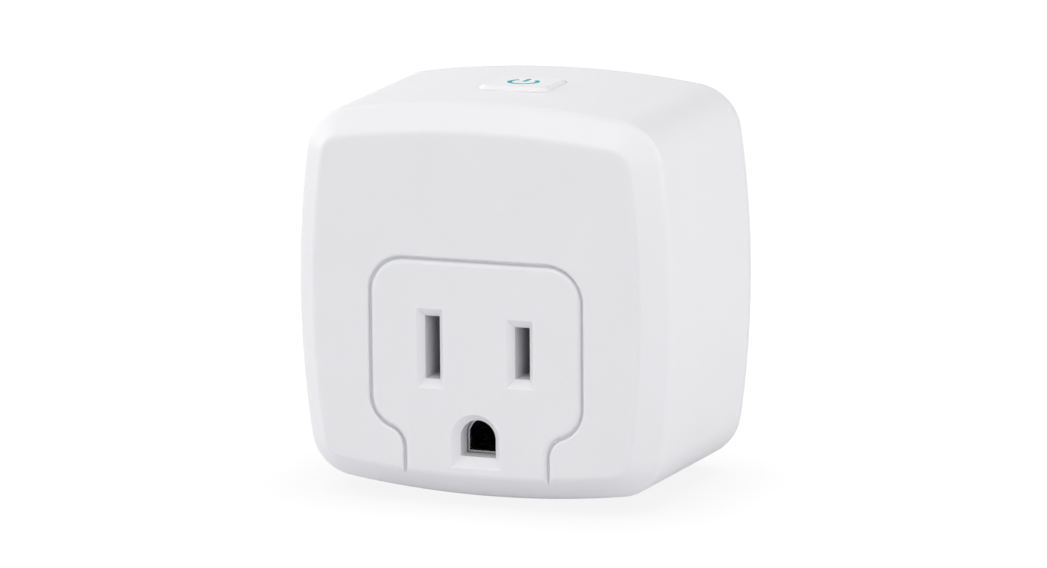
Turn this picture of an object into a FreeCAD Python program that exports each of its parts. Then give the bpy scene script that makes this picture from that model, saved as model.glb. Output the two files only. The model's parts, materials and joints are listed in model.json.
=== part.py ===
"""Smart plug: a rounded-square housing, a grounded outlet in front, prongs behind and a button on top.

Millimetres. +X is right as seen from the front, +Y points into the wall, +Z is up. The origin is on the wall
face, midway between the two flat blades. Each function builds one sub-part and returns its shape.
"""
import FreeCAD, Part
import math
import os

V = FreeCAD.Vector

# ---- Housing ----
DEPTH = 35.0                      # front face to wall face
FACE_Y = -DEPTH
BEVEL_DEPTH = 3.3
SHOULDER_Y = FACE_Y + BEVEL_DEPTH
SEAM_Y = -2.5                     # parting line between the front shell and the rear cover
BODY_Z = 6.1                      # housing centre above the blade line
FACE_HALF = 23.0                  # half size of the flat front face
SHOULDER_HALF = 26.35
SEAM_HALF = 27.2
SIDE_BULGE_R = 137.0              # the four sides are long arcs
SEAM_BULGE_R = 140.0
SIDE_SWEEP = math.radians(8.16)   # half the angle of a side's arc; the corner radius follows from it
FACE_EDGE_FILLET = 1.0
SHOULDER_EDGE_FILLET = 1.6
WALL = 1.8
FRONT_WALL = 2.0
INNER_FRONT_Y = FACE_Y + FRONT_WALL
INNER_BEVEL_Y = FACE_Y + 4.2
INNER_FACE_HALF = 22.7
INNER_SHOULDER_HALF = SHOULDER_HALF - WALL
INNER_SEAM_HALF = SEAM_HALF - WALL

# ---- Outlet (standard 15 A grounded pattern) ----
BLADE_X = 6.35                    # blade centre from the middle plane
GROUND_Z = -11.9
SLOT_WIDTH = 2.1
LINE_SLOT_H = 7.0
NEUTRAL_SLOT_H = 8.5
GROUND_HOLE_R = 2.5
FUNNEL_DEPTH = 1.05               # lead-in slopes round each hole
FUNNEL_X = 0.86
FUNNEL_Z = 1.12
BLADE_THICK = 1.52
LINE_BLADE_W = 6.35
NEUTRAL_BLADE_W = 7.94
BLADE_LENGTH = 17.5
GROUND_PIN_R = 2.375
GROUND_PIN_LENGTH = 20.8
GROUND_SHOULDER_R = 2.9           # the pin is thicker where it crosses the rear cover

# ---- Panel groove round the outlet ----
PANEL_HALF = 14.97
PANEL_TOP = 12.03
PANEL_CORNER_R = 4.85
NECK_HALF = 10.18
NECK_TOP_Z = -13.7
NECK_R = 3.0
GROOVE_FLOOR, GROOVE_DEPTH = 0.42, 0.75
GROOVE_OUTER_R, GROOVE_INNER_R = 0.3, 0.65   # the groove's lips
SHOULDER_Z = -6.8                 # where the panel's straight side ends above the neck

# ---- Button ----
BUTTON_Y = -16.5
BUTTON_HALF_X, BUTTON_HALF_Y = 4.95, 5.1
BUTTON_CORNER_R = 1.9
BUTTON_TOP = 33.25
BUTTON_CHAMFER = 0.5
BUTTON_GAP = 0.07
FLANGE_REACH = 1.2                # how far the flange under the housing stands out past the key
FLANGE_TOP = 30.5
FLANGE_THICK = 0.8
GUIDE_INSET = 1.1                 # the light guide's plate is this much smaller than the key
GUIDE_TOP = 32.2
GUIDE_THICK = 1.0
PUSHER_R = 1.5
SYMBOL_Y = BUTTON_Y + 0.2
SYMBOL_R = 1.9
SYMBOL_STROKE = 0.64
SYMBOL_OPEN_DEG = 38.0            # half angle of the ring's opening
SYMBOL_BAR_START, SYMBOL_BAR_END = 0.1, 2.5

# ---- Boards ----
BOARD_FRONT_Y = -9.0
BOARD_REAR_Y = -7.4
BOARD_HALF_X = 23.2
BOARD_LOW_Z, BOARD_HIGH_Z = -17.0, 29.0
BOARD_CORNER_R = 4.0
CONTROL_Z = 25.0                  # top face of the control board
CONTROL_THICK = 1.0
CONTROL_HALF_X = 11.5
CONTROL_FRONT_Y, CONTROL_REAR_Y = -29.5, -10.4
CORNER_BOSS_X, CORNER_BOSS_LOW, CORNER_BOSS_HIGH = 19.6, -13.5, 25.7
CORNER_BOSS_R = 2.8
SCREW_R, SCREW_HOLE_R = 1.1, 1.16

# ---- Posts and ledges inside the shell ----
POST_FOOT_Y = INNER_FRONT_Y - 0.5 # they start a little inside the front wall
RIB_HALF = 0.6
RIB_REACH = SHOULDER_HALF - 2.2
LEDGE_X, LEDGE_HALF = 9.5, 1.0    # two ledges hold the control board's front edge
LEDGE_THICK, LEDGE_REACH = 1.6, 1.4
LEDGE_STOP = 2.2                  # height of the stop in front of the board

# ---- Switch and lamp on the control board, and the pins that join it to the main board ----
SWITCH_HALF = 3.0
SWITCH_TOP = CONTROL_Z + 5.0
SWITCH_BODY_TOP = CONTROL_Z + 3.2
STEM_R = 1.7
LED_X = 4.3
LED_HEIGHT = 1.3
HEADER_PITCH = 2.54
HEADER_COUNT = 5
HEADER_Y = -11.8
HEADER_Z = 22.7
PIN_HALF = 0.32

# ---- Parts on the main board ----
STANDOFF = 0.3
LEAD_R = 0.3
LEAD_END_Y = BOARD_REAR_Y + 1.4   # where leads and straps end behind the board
BULK_R, BULK_L, BULK_SPREAD = 4.0, 12.5, 1.75
BULK_X, CAP_Z = (-18.6, -9.8), 14.4
OUT_X, OUT_R, OUT_L, OUT_SPREAD = -1.9, 3.1, 11.0, 1.25
INDUCTOR_X, INDUCTOR_Z, INDUCTOR_R, INDUCTOR_L = -18.9, 4.2, 3.4, 8.5
INDUCTOR_SPREAD = 2.4
RESISTOR_X, RESISTOR_Z = -19.6, -6.8
RESISTOR_RETURN = 2.6             # from the fusible resistor's axis to its bent-back lead
VARISTOR_X, VARISTOR_Z, VARISTOR_R, VARISTOR_T = 19.2, 4.4, 4.0, 3.6
VARISTOR_Y, VARISTOR_SPREAD = -14.6, 2.5
# Each chip: x, z, size along x, size along z, height, leg places along x, leg places along z, leg width
CHIPS = {
    "rectifier_bridge": (-8.8, 22.3, 4.7, 3.9, 2.3, (-1.27, 1.27), (), 0.7),
    "converter_chip": (-15.8, 20.6, 4.9, 3.9, 1.5, (-1.9, -0.63, 0.63, 1.9), (), 0.4),
    "voltage_regulator": (9.6, 24.6, 6.4, 3.5, 1.6, (-2.3, 0, 2.3), (), 0.7),
    "relay_driver": (10.4, 17.6, 2.9, 1.4, 1.05, (-0.95, 0.95), (), 0.4),
    "flyback_diode": (8.0, 13.6, 4.3, 2.6, 2.1, (), (0,), 1.4),
}
RESISTOR_PLACES = [(-14.2, 9.6), (-11.2, 9.6), (1.2, 20.0), (3.6, 20.0), (-3.6, 7.2), (14.0, 10.6),
                   (17.0, 10.6)]
CERAMIC_PLACES = [(-5.6, 17.6), (-14.2, 6.6), (14.4, 24.8), (2.6, 26.4)]

# ---- Contact carrier ----
CARRIER_HALF_X = 12.4
CARRIER_LOW_Z, CARRIER_HIGH_Z = -16.1, 8.0
CARRIER_REAR_Y = -15.9
RETAINER_THICK = 1.5
EAR_X, EAR_Z, EAR_R = 15.9, -3.0, 2.6
EAR_THICK = 1.6
CONTACT_FRONT_Y = -27.0
GROUND_CONTACT_FRONT_Y = -31.4
GROUND_GRIP_R = 2.2               # the ground sleeve is a little narrower than a pin and springs open
GROUND_SLEEVE_T = 0.5
METAL = 0.6
GRIP_HALF = 0.8                   # half the gap between the leaves, as a blade spreads them
WEB_Y = CARRIER_REAR_Y - 1.0
LINE_STRAP_X, LINE_STRAP_T = 12.6, 0.8

# ---- Relay, in its own u (+X), w (+Z), h (-Y) lengths from the corner below ----
RELAY_X, RELAY_Y, RELAY_Z = 3.2, -9.2, 9.3
RELAY_U, RELAY_W, RELAY_H = 18.4, 10.2, 15.4
PIVOT_U, PIVOT_H = 12.0, 12.25
CASE_WALL = 0.6
BASE_H = 1.7
CORE_U, CORE_W, CORE_R = 6.3, 5.1, 1.5
YOKE_T = 1.1
YOKE_W0, YOKE_W1 = 1.7, 8.5
BOBBIN_LOW, BOBBIN_HIGH, FLANGE_T = BASE_H + 1.1, 11.5, 0.7
POLE_H = 12.2
PIN_DEPTH = 3.1
PIN_W0, PIN_W1 = 4.3, 5.9
COIL_PIN_U, COIL_PIN_W, COIL_PIN_R = 2.3, (1.9, 8.3), 0.35
TERMINAL_U = 14.4
CONTACT_H = 6.6
SPRING_U = 12.8
SPRING_T = 0.2
ARMATURE_DEG = 4.2                # the armature's swing from rest to the pole


# ---- Helpers ----
def box(x0, x1, y0, y1, z0, z1):
    """A block between two opposite corners."""
    return Part.makeBox(x1 - x0, y1 - y0, z1 - z0, V(x0, y0, z0))


def rod(x, y, z, radius, length, axis=V(0, 1, 0)):
    """A cylinder from a start point along an axis."""
    return Part.makeCylinder(radius, length, V(x, y, z), axis)


def fuse(shapes):
    """All the shapes as one solid."""
    return shapes[0].multiFuse(shapes[1:]).removeSplitter()


def fuse_list(shapes):
    """The shapes joined into one cutter, without merging their faces."""
    return shapes[0].multiFuse(shapes[1:])


def polygon_face(points):
    """A flat face from corner points."""
    return Part.Face(Part.makePolygon(points + [points[0]]))


def edges_where(shape, test):
    """The edges whose end points all pass a test."""
    return [e for e in shape.Edges if all(test(v.Point) for v in e.Vertexes)]


def upright_box(x0, x1, y0, y1, z0, z1, radius, axis="Y"):
    """A block whose edges along one axis are rounded."""
    block = box(x0, x1, y0, y1, z0, z1)
    index = "XYZ".index(axis)
    chosen = []
    for edge in block.Edges:
        ends = [v.Point for v in edge.Vertexes]
        if abs(ends[0][index] - ends[1][index]) > 1e-6:
            chosen.append(edge)
    return block.makeFillet(radius, chosen)


def pillow_wire(half, y, bulge_r):
    """A square outline with bulging sides and round corners, in the plane at y, as eight tangent arcs."""
    touch_x = half - bulge_r * (1 - math.cos(SIDE_SWEEP))
    touch_z = bulge_r * math.sin(SIDE_SWEEP)
    corner_r = (touch_x - touch_z) / (math.cos(SIDE_SWEEP) - math.sin(SIDE_SWEEP))
    tip = touch_x - corner_r * math.cos(SIDE_SWEEP) + corner_r / math.sqrt(2)
    edges = []
    for turn in range(4):
        angle = math.radians(90 * turn)

        def place(x, z):
            return V(x * math.cos(angle) - z * math.sin(angle), y,
                     x * math.sin(angle) + z * math.cos(angle) + BODY_Z)

        edges.append(Part.Arc(place(touch_x, -touch_z), place(half, 0), place(touch_x, touch_z)).toShape())
        edges.append(Part.Arc(place(touch_x, touch_z), place(tip, tip), place(touch_z, touch_x)).toShape())
    return Part.Wire(edges)


def pillow_loft(sections):
    """A solid through pillow outlines given as (half size, y, bulge radius)."""
    return Part.makeLoft([pillow_wire(*s) for s in sections], True, True)


def half_at(y):
    """The housing's outer half size at a depth between the shoulder and the seam."""
    share = (y - SHOULDER_Y) / (SEAM_Y - SHOULDER_Y)
    return SHOULDER_HALF + (SEAM_HALF - SHOULDER_HALF) * share


def rect_wire(x, z, half_x, half_z, y):
    """A rectangle in the plane at y."""
    corners = [V(x - half_x, y, z - half_z), V(x + half_x, y, z - half_z),
               V(x + half_x, y, z + half_z), V(x - half_x, y, z + half_z)]
    return Part.makePolygon(corners + [corners[0]])


def dee_wire(radius, y, centre_z=GROUND_Z, drop=None):
    """A flat-bottomed arch in the plane at y: the outline of the ground hole. drop is the floor's depth."""
    low = centre_z - (radius if drop is None else drop)
    left, right = V(-radius, y, centre_z), V(radius, y, centre_z)
    return Part.Wire([
        Part.makeLine(V(-radius, y, low), V(radius, y, low)),
        Part.makeLine(V(radius, y, low), right),
        Part.Arc(right, V(0, y, centre_z + radius), left).toShape(),
        Part.makeLine(left, V(-radius, y, low)),
    ])


def key_post(grow, corner_r, z0, z1):
    """A post with the button's outline, grown by a length."""
    half_x, half_y = BUTTON_HALF_X + grow, BUTTON_HALF_Y + grow
    return upright_box(-half_x, half_x, BUTTON_Y - half_y, BUTTON_Y + half_y, z0, z1, corner_r, "Z")


def screw(x, z, head_y, length):
    """A pan-head self-tapping screw driven towards -Y, with ring-shaped ridges for its thread."""
    pitch, root = 0.9, SCREW_R - 0.22
    head_r, head_h = 2.1, 1.5
    profile = [V(0, head_h, 0), V(head_r * 0.55, head_h, 0), V(head_r, head_h * 0.45, 0), V(head_r, 0, 0),
               V(root, 0, 0)]
    turns = int((length - 2.0) / pitch)
    for i in range(turns):
        start = -0.5 - i * pitch
        profile += [V(root, start, 0), V(SCREW_R, start - 0.3 * pitch, 0), V(root, start - 0.6 * pitch, 0)]
    profile += [V(root, -length + 1.2, 0), V(0, -length, 0)]
    solid = polygon_face(profile).revolve(V(0, 0, 0), V(0, 1, 0), 360)
    cross = fuse([box(-1.1, 1.1, head_h - 0.8, head_h + 1, -0.22, 0.22),
                  box(-0.22, 0.22, head_h - 0.8, head_h + 1, -1.1, 1.1)])
    solid = solid.cut(cross)
    solid.translate(V(x, head_y, z))
    return solid


# ---- Housing parts ----
def panel_path():
    """The groove's centre line on the front face, from the left foot over the top to the right foot."""
    neck_c = V(-NECK_HALF - NECK_R, FACE_Y, NECK_TOP_Z)
    rise = SHOULDER_Z - NECK_TOP_Z
    gap = PANEL_HALF - NECK_HALF - NECK_R
    flare_r = (rise ** 2 + gap ** 2 - NECK_R ** 2) / (2 * (NECK_R + gap))
    flare_c = V(-PANEL_HALF + flare_r, FACE_Y, SHOULDER_Z)
    turn = math.atan2(flare_c.z - neck_c.z, flare_c.x - neck_c.x)

    def on(centre, radius, angle):
        return centre + V(radius * math.cos(angle), 0, radius * math.sin(angle))

    foot = V(-NECK_HALF, FACE_Y, BODY_Z - FACE_HALF - 2.5)
    meet = on(neck_c, NECK_R, turn)
    corner_c = V(-PANEL_HALF + PANEL_CORNER_R, FACE_Y, PANEL_TOP - PANEL_CORNER_R)
    side_low = V(-PANEL_HALF, FACE_Y, SHOULDER_Z)
    side_high = V(-PANEL_HALF, FACE_Y, corner_c.z)
    top = V(corner_c.x, FACE_Y, PANEL_TOP)
    left = [
        Part.makeLine(foot, on(neck_c, NECK_R, 0)),
        Part.Arc(on(neck_c, NECK_R, 0), on(neck_c, NECK_R, turn / 2), meet).toShape(),
        Part.Arc(meet, on(flare_c, flare_r, (turn + 2 * math.pi) / 2), side_low).toShape(),
        Part.makeLine(side_low, side_high),
        Part.Arc(side_high, on(corner_c, PANEL_CORNER_R, 0.75 * math.pi), top).toShape(),
    ]
    right = [e.mirror(V(0, 0, 0), V(1, 0, 0)) for e in left]
    across = Part.makeLine(top, V(-top.x, FACE_Y, PANEL_TOP))
    return Part.Wire(Part.__sortEdges__(left + [across] + right)), foot


def groove_cutter():
    """The panel groove: a narrow floor between a steep outer wall and a rounded inner one, with rounded lips."""
    path, foot = panel_path()

    def at(s, depth):
        return V(foot.x + s, FACE_Y + depth, foot.z)

    def lip(edge_s, wall_s, radius):
        """A quarter round from the face into the groove."""
        centre_s = wall_s - math.copysign(radius, wall_s - edge_s)
        bend = radius * math.sqrt(0.5)
        middle = at(centre_s + math.copysign(bend, wall_s - edge_s), radius - bend)
        return Part.Arc(at(edge_s, 0), middle, at(wall_s, radius)).toShape()

    half = GROOVE_FLOOR / 2
    outer_s, inner_s = -half - GROOVE_OUTER_R, half + GROOVE_INNER_R
    profile = Part.Wire([
        Part.makeLine(at(outer_s, -0.6), at(outer_s, 0)), lip(outer_s, -half, GROOVE_OUTER_R),
        Part.makeLine(at(-half, GROOVE_OUTER_R), at(-half, GROOVE_DEPTH)),
        Part.makeLine(at(-half, GROOVE_DEPTH), at(half, GROOVE_DEPTH)),
        Part.makeLine(at(half, GROOVE_DEPTH), at(half, GROOVE_INNER_R)), lip(inner_s, half, GROOVE_INNER_R),
        Part.makeLine(at(inner_s, 0), at(inner_s, -0.6)), Part.makeLine(at(inner_s, -0.6), at(outer_s, -0.6)),
    ])
    return path.makePipeShell([profile], True, False)


def outlet_cutter():
    """The two blade slots and the ground hole with their sloped lead-ins, through the front wall."""
    inner_y = FACE_Y + FUNNEL_DEPTH
    cutters = []
    for x, height in ((-BLADE_X, NEUTRAL_SLOT_H), (BLADE_X, LINE_SLOT_H)):
        inner = rect_wire(x, 0, SLOT_WIDTH / 2, height / 2, inner_y)
        outer = rect_wire(x, 0, SLOT_WIDTH / 2 + FUNNEL_X, height / 2 + FUNNEL_Z, FACE_Y)
        cutters.append(Part.makeLoft([outer, inner], True, True))
        cutters.append(box(x - SLOT_WIDTH / 2, x + SLOT_WIDTH / 2, inner_y - 0.2, INNER_FRONT_Y + 0.5,
                           -height / 2, height / 2))
    outer = dee_wire(GROUND_HOLE_R + 0.95, FACE_Y, drop=GROUND_HOLE_R + 1.4)
    cutters.append(Part.makeLoft([outer, dee_wire(GROUND_HOLE_R, inner_y)], True, True))
    cutters.append(Part.Face(dee_wire(GROUND_HOLE_R, inner_y - 0.2)).extrude(V(0, FRONT_WALL, 0)))
    return cutters


def snap_ridge(turn, grow=0.0):
    """One side's snap ridge on the rear cover's lip, or with grow its matching groove in the shell."""
    reach = half_at(-5.0) - WALL - 0.15
    y = -4.9
    tri = [V(reach - 0.5, y - 0.8 - grow, -5 - grow), V(reach + 0.45 + grow, y - grow / 2, -5 - grow),
           V(reach + 0.45 + grow, y + 0.1 + grow, -5 - grow), V(reach - 0.5, y + 0.5 + grow, -5 - grow)]
    ridge = polygon_face(tri).extrude(V(0, 0, 10 + 2 * grow))
    ridge.rotate(V(0, 0, 0), V(0, 1, 0), 90 * turn)
    ridge.translate(V(0, 0, BODY_Z))
    return ridge


def corner_bosses():
    """The four (x, z) places of the main board's screws."""
    return [(sx * CORNER_BOSS_X, z) for sx in (-1, 1) for z in (CORNER_BOSS_LOW, CORNER_BOSS_HIGH)]


def screw_posts():
    """The posts for the board's and the carrier's screws, the board's with two ribs to the walls."""
    posts = []
    rib_start, rib_end = SHOULDER_Y + 1.0, -12.0
    for x, z in corner_bosses():
        wall_x, wall_z = math.copysign(RIB_REACH, x), BODY_Z + math.copysign(RIB_REACH, z)
        posts.append(rod(x, POST_FOOT_Y, z, CORNER_BOSS_R, BOARD_FRONT_Y - POST_FOOT_Y))
        posts.append(box(min(x, wall_x), max(x, wall_x), rib_start, rib_end, z - RIB_HALF, z + RIB_HALF))
        posts.append(box(x - RIB_HALF, x + RIB_HALF, rib_start, rib_end, min(z, wall_z), max(z, wall_z)))
    for x, z in carrier_ears():
        posts.append(rod(x, POST_FOOT_Y, z, EAR_R - 0.2, CARRIER_REAR_Y - EAR_THICK - POST_FOOT_Y))
    return posts


def screw_bores():
    """The bores of the screw posts."""
    bores = [rod(x, -20.0, z, SCREW_HOLE_R, 20) for x, z in corner_bosses()]
    return bores + [rod(x, -26.0, z, SCREW_HOLE_R, 20) for x, z in carrier_ears()]


def control_ledges():
    """Two ledges under the control board's front edge, each with a stop in front of it."""
    low = CONTROL_Z - CONTROL_THICK
    foot = low - LEDGE_THICK
    ledges = []
    for x in (-LEDGE_X, LEDGE_X):
        x0, x1 = x - LEDGE_HALF, x + LEDGE_HALF
        ledges.append(box(x0, x1, POST_FOOT_Y, CONTROL_FRONT_Y + LEDGE_REACH, foot, low))
        ledges.append(box(x0, x1, POST_FOOT_Y, CONTROL_FRONT_Y - 0.05, foot, low + LEDGE_STOP))
    return ledges


def front_shell():
    """The cup-shaped front housing, with its outlet, groove, button opening, posts and ledges."""
    outer = pillow_loft([
        (FACE_HALF, FACE_Y, SIDE_BULGE_R),
        (SHOULDER_HALF, SHOULDER_Y, SIDE_BULGE_R),
        (SEAM_HALF, SEAM_Y, SEAM_BULGE_R),
    ])
    shoulder = edges_where(outer, lambda p: abs(p.y - SHOULDER_Y) < 1e-6)
    outer = outer.makeFillet(SHOULDER_EDGE_FILLET, shoulder)
    face = edges_where(outer, lambda p: abs(p.y - FACE_Y) < 1e-6)
    outer = outer.makeFillet(FACE_EDGE_FILLET, face)
    inner = pillow_loft([
        (INNER_FACE_HALF, INNER_FRONT_Y, SIDE_BULGE_R - WALL),
        (INNER_SHOULDER_HALF, INNER_BEVEL_Y, SIDE_BULGE_R - WALL),
        (INNER_SEAM_HALF, SEAM_Y, SEAM_BULGE_R - WALL),
    ])
    shell = outer.cut(inner).multiFuse(screw_posts() + control_ledges())
    cutters = outlet_cutter() + [groove_cutter()] + screw_bores()
    cutters.append(key_post(BUTTON_GAP, BUTTON_CORNER_R + BUTTON_GAP, FLANGE_TOP, BUTTON_TOP + 1))
    cutters += [snap_ridge(turn, 0.12) for turn in range(4)]
    return shell.cut(cutters[0].multiFuse(cutters[1:]))


def blade_tails():
    """The prongs and their flanges, grown a little, as a cutter for the rear cover."""
    gap = 0.1
    line, neutral = LINE_BLADE_W / 2 + gap, NEUTRAL_BLADE_W / 2 + gap
    half_t = BLADE_THICK / 2 + gap
    return [box(BLADE_X - half_t, BLADE_X + half_t, -8, 1, -line, line),
            box(-BLADE_X - half_t, -BLADE_X + half_t, -8, 1, -neutral, neutral),
            rod(0, -8, GROUND_Z, GROUND_SHOULDER_R + gap, 9)]


def rear_cover():
    """The flat wall-side cover with its locating lip, snap ridges, prong collars and a shallow recess."""
    plate = pillow_loft([
        (SEAM_HALF, SEAM_Y, SEAM_BULGE_R),
        (SEAM_HALF + 0.05, 0.0, SEAM_BULGE_R),
    ])
    plate = plate.makeFillet(2.0, edges_where(plate, lambda p: abs(p.y) < 1e-6))
    lip_half = INNER_SEAM_HALF - 0.15
    lip_end = -6.2
    lip = pillow_loft([
        (lip_half - 0.11, lip_end, SEAM_BULGE_R - WALL),
        (lip_half, SEAM_Y + 0.4, SEAM_BULGE_R - WALL),
    ])
    hollow = pillow_loft([
        (lip_half - 1.4, lip_end - 1, SEAM_BULGE_R - WALL - 1.4),
        (lip_half - 1.3, SEAM_Y, SEAM_BULGE_R - WALL - 1.3),
    ])
    collars = [
        upright_box(BLADE_X - 2.6, BLADE_X + 2.6, SEAM_Y - 0.7, SEAM_Y + 0.5, -5.2, 5.2, 1.0),
        upright_box(-BLADE_X - 2.6, -BLADE_X + 2.6, SEAM_Y - 0.7, SEAM_Y + 0.5, -6.0, 6.0, 1.0),
        rod(0, SEAM_Y - 0.7, GROUND_Z, 4.6, 1.2),
    ]
    recess = upright_box(-15, 15, -0.35, 1, 12.5, 27.5, 2.0)
    cover = plate.multiFuse([lip.cut(hollow)] + collars + [snap_ridge(turn) for turn in range(4)])
    return cover.cut(fuse_list(blade_tails() + [recess]))


# ---- Button and switch ----
def symbol(z0, z1, grow=0.0):
    """The power symbol as two posts: an open ring and a bar, its opening towards the wall."""
    half = SYMBOL_STROKE / 2 + grow
    height = z1 - z0
    up = V(0, 0, 1)
    hole = rod(0, SYMBOL_Y, z0 - 1, SYMBOL_R - half, height + 2, up)
    ring = rod(0, SYMBOL_Y, z0, SYMBOL_R + half, height, up).cut(hole)
    spread = math.radians(SYMBOL_OPEN_DEG) - grow / SYMBOL_R
    far = 6.0
    side, reach = far * math.sin(spread), SYMBOL_Y + far * math.cos(spread)
    wedge = polygon_face([V(0, SYMBOL_Y, z0 - 1), V(-side, reach, z0 - 1), V(side, reach, z0 - 1)])
    ring = ring.cut(wedge.extrude(V(0, 0, height + 2)))
    bar_start, bar_end = SYMBOL_Y + SYMBOL_BAR_START - grow, SYMBOL_Y + SYMBOL_BAR_END + grow
    bar = upright_box(-half, half, bar_start, bar_end, z0, z1, half * 0.9, "Z")
    return [ring, bar]


def button_cap():
    """The raised key with a bevelled rim, a flange below the housing and a pocket for the light guide."""
    key = key_post(0, BUTTON_CORNER_R, FLANGE_TOP - 0.1, BUTTON_TOP)
    key = key.makeChamfer(BUTTON_CHAMFER, edges_where(key, lambda p: abs(p.z - BUTTON_TOP) < 1e-6))
    flange = key_post(FLANGE_REACH, 2.4, FLANGE_TOP - FLANGE_THICK, FLANGE_TOP)
    pocket = key_post(0.1 - GUIDE_INSET, 1.0, FLANGE_TOP - 2, GUIDE_TOP)
    return key.fuse(flange).cut(fuse_list([pocket] + symbol(GUIDE_TOP - 0.5, BUTTON_TOP + 1, 0.01)))


def symbol_light_guide():
    """The translucent insert: a plate, the raised power symbol flush with the key and the pusher below."""
    plate = key_post(-GUIDE_INSET, 0.9, GUIDE_TOP - GUIDE_THICK, GUIDE_TOP)
    pusher = rod(0, BUTTON_Y, SWITCH_TOP + 0.02, PUSHER_R, GUIDE_TOP - GUIDE_THICK - SWITCH_TOP, V(0, 0, 1))
    return fuse([plate, pusher] + symbol(GUIDE_TOP - 0.2, BUTTON_TOP))


def switch_legs():
    """The tactile switch's four solder feet, one at each corner, flat on the control board."""
    legs = []
    for sx in (-1, 1):
        for sy in (-1, 1):
            y = BUTTON_Y + sy * 2.25
            inner, outer = sx * (SWITCH_HALF - 0.6), sx * (SWITCH_HALF + 1.3)
            legs.append(box(min(inner, outer), max(inner, outer), y - 0.35, y + 0.35,
                            CONTROL_Z, CONTROL_Z + 0.22))
    return legs


def switch_body():
    """The moulded base of the tactile switch, with a round well for its dome and plunger."""
    body = upright_box(-SWITCH_HALF, SWITCH_HALF, BUTTON_Y - SWITCH_HALF, BUTTON_Y + SWITCH_HALF,
                       CONTROL_Z, SWITCH_BODY_TOP, 0.4, "Z")
    well = rod(0, BUTTON_Y, CONTROL_Z + 1.6, 2.2, 3, V(0, 0, 1))
    return body.cut(fuse_list([well] + switch_legs()))


def switch_frame():
    """The steel plate crimped over the switch, with a hole for the stem and two folded side tabs."""
    plate = upright_box(-SWITCH_HALF, SWITCH_HALF, BUTTON_Y - SWITCH_HALF, BUTTON_Y + SWITCH_HALF,
                        SWITCH_BODY_TOP, SWITCH_BODY_TOP + 0.25, 0.4, "Z")
    reach = SWITCH_HALF + 0.12
    tabs = [box(-1.6, 1.6, y - 0.12, y + 0.12, CONTROL_Z + 1.0, SWITCH_BODY_TOP + 0.25)
            for y in (BUTTON_Y - reach, BUTTON_Y + reach)]
    return fuse([plate] + tabs).cut(rod(0, BUTTON_Y, CONTROL_Z, STEM_R + 0.1, 9, V(0, 0, 1)))


def switch_plunger():
    """The plunger: a wide foot on the dome and a stem up to the light guide's pusher."""
    foot = rod(0, BUTTON_Y, CONTROL_Z + 2.2, 2.1, 0.55, V(0, 0, 1))
    stem = rod(0, BUTTON_Y, CONTROL_Z + 2.2, STEM_R, SWITCH_TOP - CONTROL_Z - 2.2, V(0, 0, 1))
    solid = fuse([foot, stem])
    return solid.makeFillet(0.3, edges_where(solid, lambda p: abs(p.z - SWITCH_TOP) < 1e-6))


def switch_dome():
    """The snap dome: a thin spherical cap resting in the switch's well."""
    height, radius, thick = 0.5, 2.0, 0.1
    ball_r = (radius ** 2 + height ** 2) / (2 * height)
    base_z = CONTROL_Z + 1.62
    centre = V(0, BUTTON_Y, base_z + height - ball_r)
    cap = Part.makeSphere(ball_r, centre).cut(Part.makeSphere(ball_r - thick, centre))
    return cap.common(box(-3, 3, BUTTON_Y - 3, BUTTON_Y + 3, base_z, base_z + 2))


def led_cup():
    """The cone-shaped cup in the lamp's top."""
    return Part.makeCone(0.5, 0.7, 0.6, V(LED_X, BUTTON_Y, CONTROL_Z + LED_HEIGHT - 0.6), V(0, 0, 1))


def status_led():
    """A surface-mount lamp beside the switch, below the light guide."""
    body = upright_box(LED_X - 0.8, LED_X + 0.8, BUTTON_Y - 1.3, BUTTON_Y + 1.3, CONTROL_Z,
                       CONTROL_Z + LED_HEIGHT, 0.15, "Z")
    return body.cut(led_cup())


def led_lens():
    """The clear filling in the lamp's cup, slightly domed."""
    top = CONTROL_Z + LED_HEIGHT
    ball = Part.makeSphere(2.0, V(LED_X, BUTTON_Y, top - 1.87))
    dome = ball.common(rod(LED_X, BUTTON_Y, top, 0.7, 1, V(0, 0, 1)))
    return led_cup().fuse(dome).removeSplitter()


# ---- Boards ----
def header_pins():
    """Right-angle pins that join the control board to the main board."""
    pins = []
    for i in range(HEADER_COUNT):
        x = (i - (HEADER_COUNT - 1) / 2) * HEADER_PITCH
        x0, x1, y0, z0 = x - PIN_HALF, x + PIN_HALF, HEADER_Y - PIN_HALF, HEADER_Z - PIN_HALF
        up = box(x0, x1, y0, HEADER_Y + PIN_HALF, z0, CONTROL_Z + 1.2)
        back = box(x0, x1, y0, LEAD_END_Y, z0, HEADER_Z + PIN_HALF)
        pins.append(fuse([up, back]))
    return pins


def header_body():
    """The plastic strip that holds the header pins."""
    half = HEADER_COUNT * HEADER_PITCH / 2
    strip = upright_box(-half, half, HEADER_Y - 1.1, HEADER_Y + 1.1,
                        HEADER_Z - 0.9, CONTROL_Z - CONTROL_THICK, 0.3, "Z")
    return strip.cut(fuse_list(header_pins()))


def control_board():
    """The small board under the button."""
    board = upright_box(-CONTROL_HALF_X, CONTROL_HALF_X, CONTROL_FRONT_Y, CONTROL_REAR_Y,
                        CONTROL_Z - CONTROL_THICK, CONTROL_Z, 1.0, "Z")
    return board.cut(fuse_list(header_pins()))


def wifi_board():
    """The radio module's own board under the control board, with solder half-holes along two sides."""
    low = CONTROL_Z - CONTROL_THICK - 0.8
    board = box(-8, 8, CONTROL_FRONT_Y + 1.9, -13.4, low, low + 0.8)
    pads = [rod(sx * 8, -24 + i * 1.4, low - 1, 0.4, 3, V(0, 0, 1)) for sx in (-1, 1) for i in range(8)]
    return board.cut(fuse_list(pads))


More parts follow.
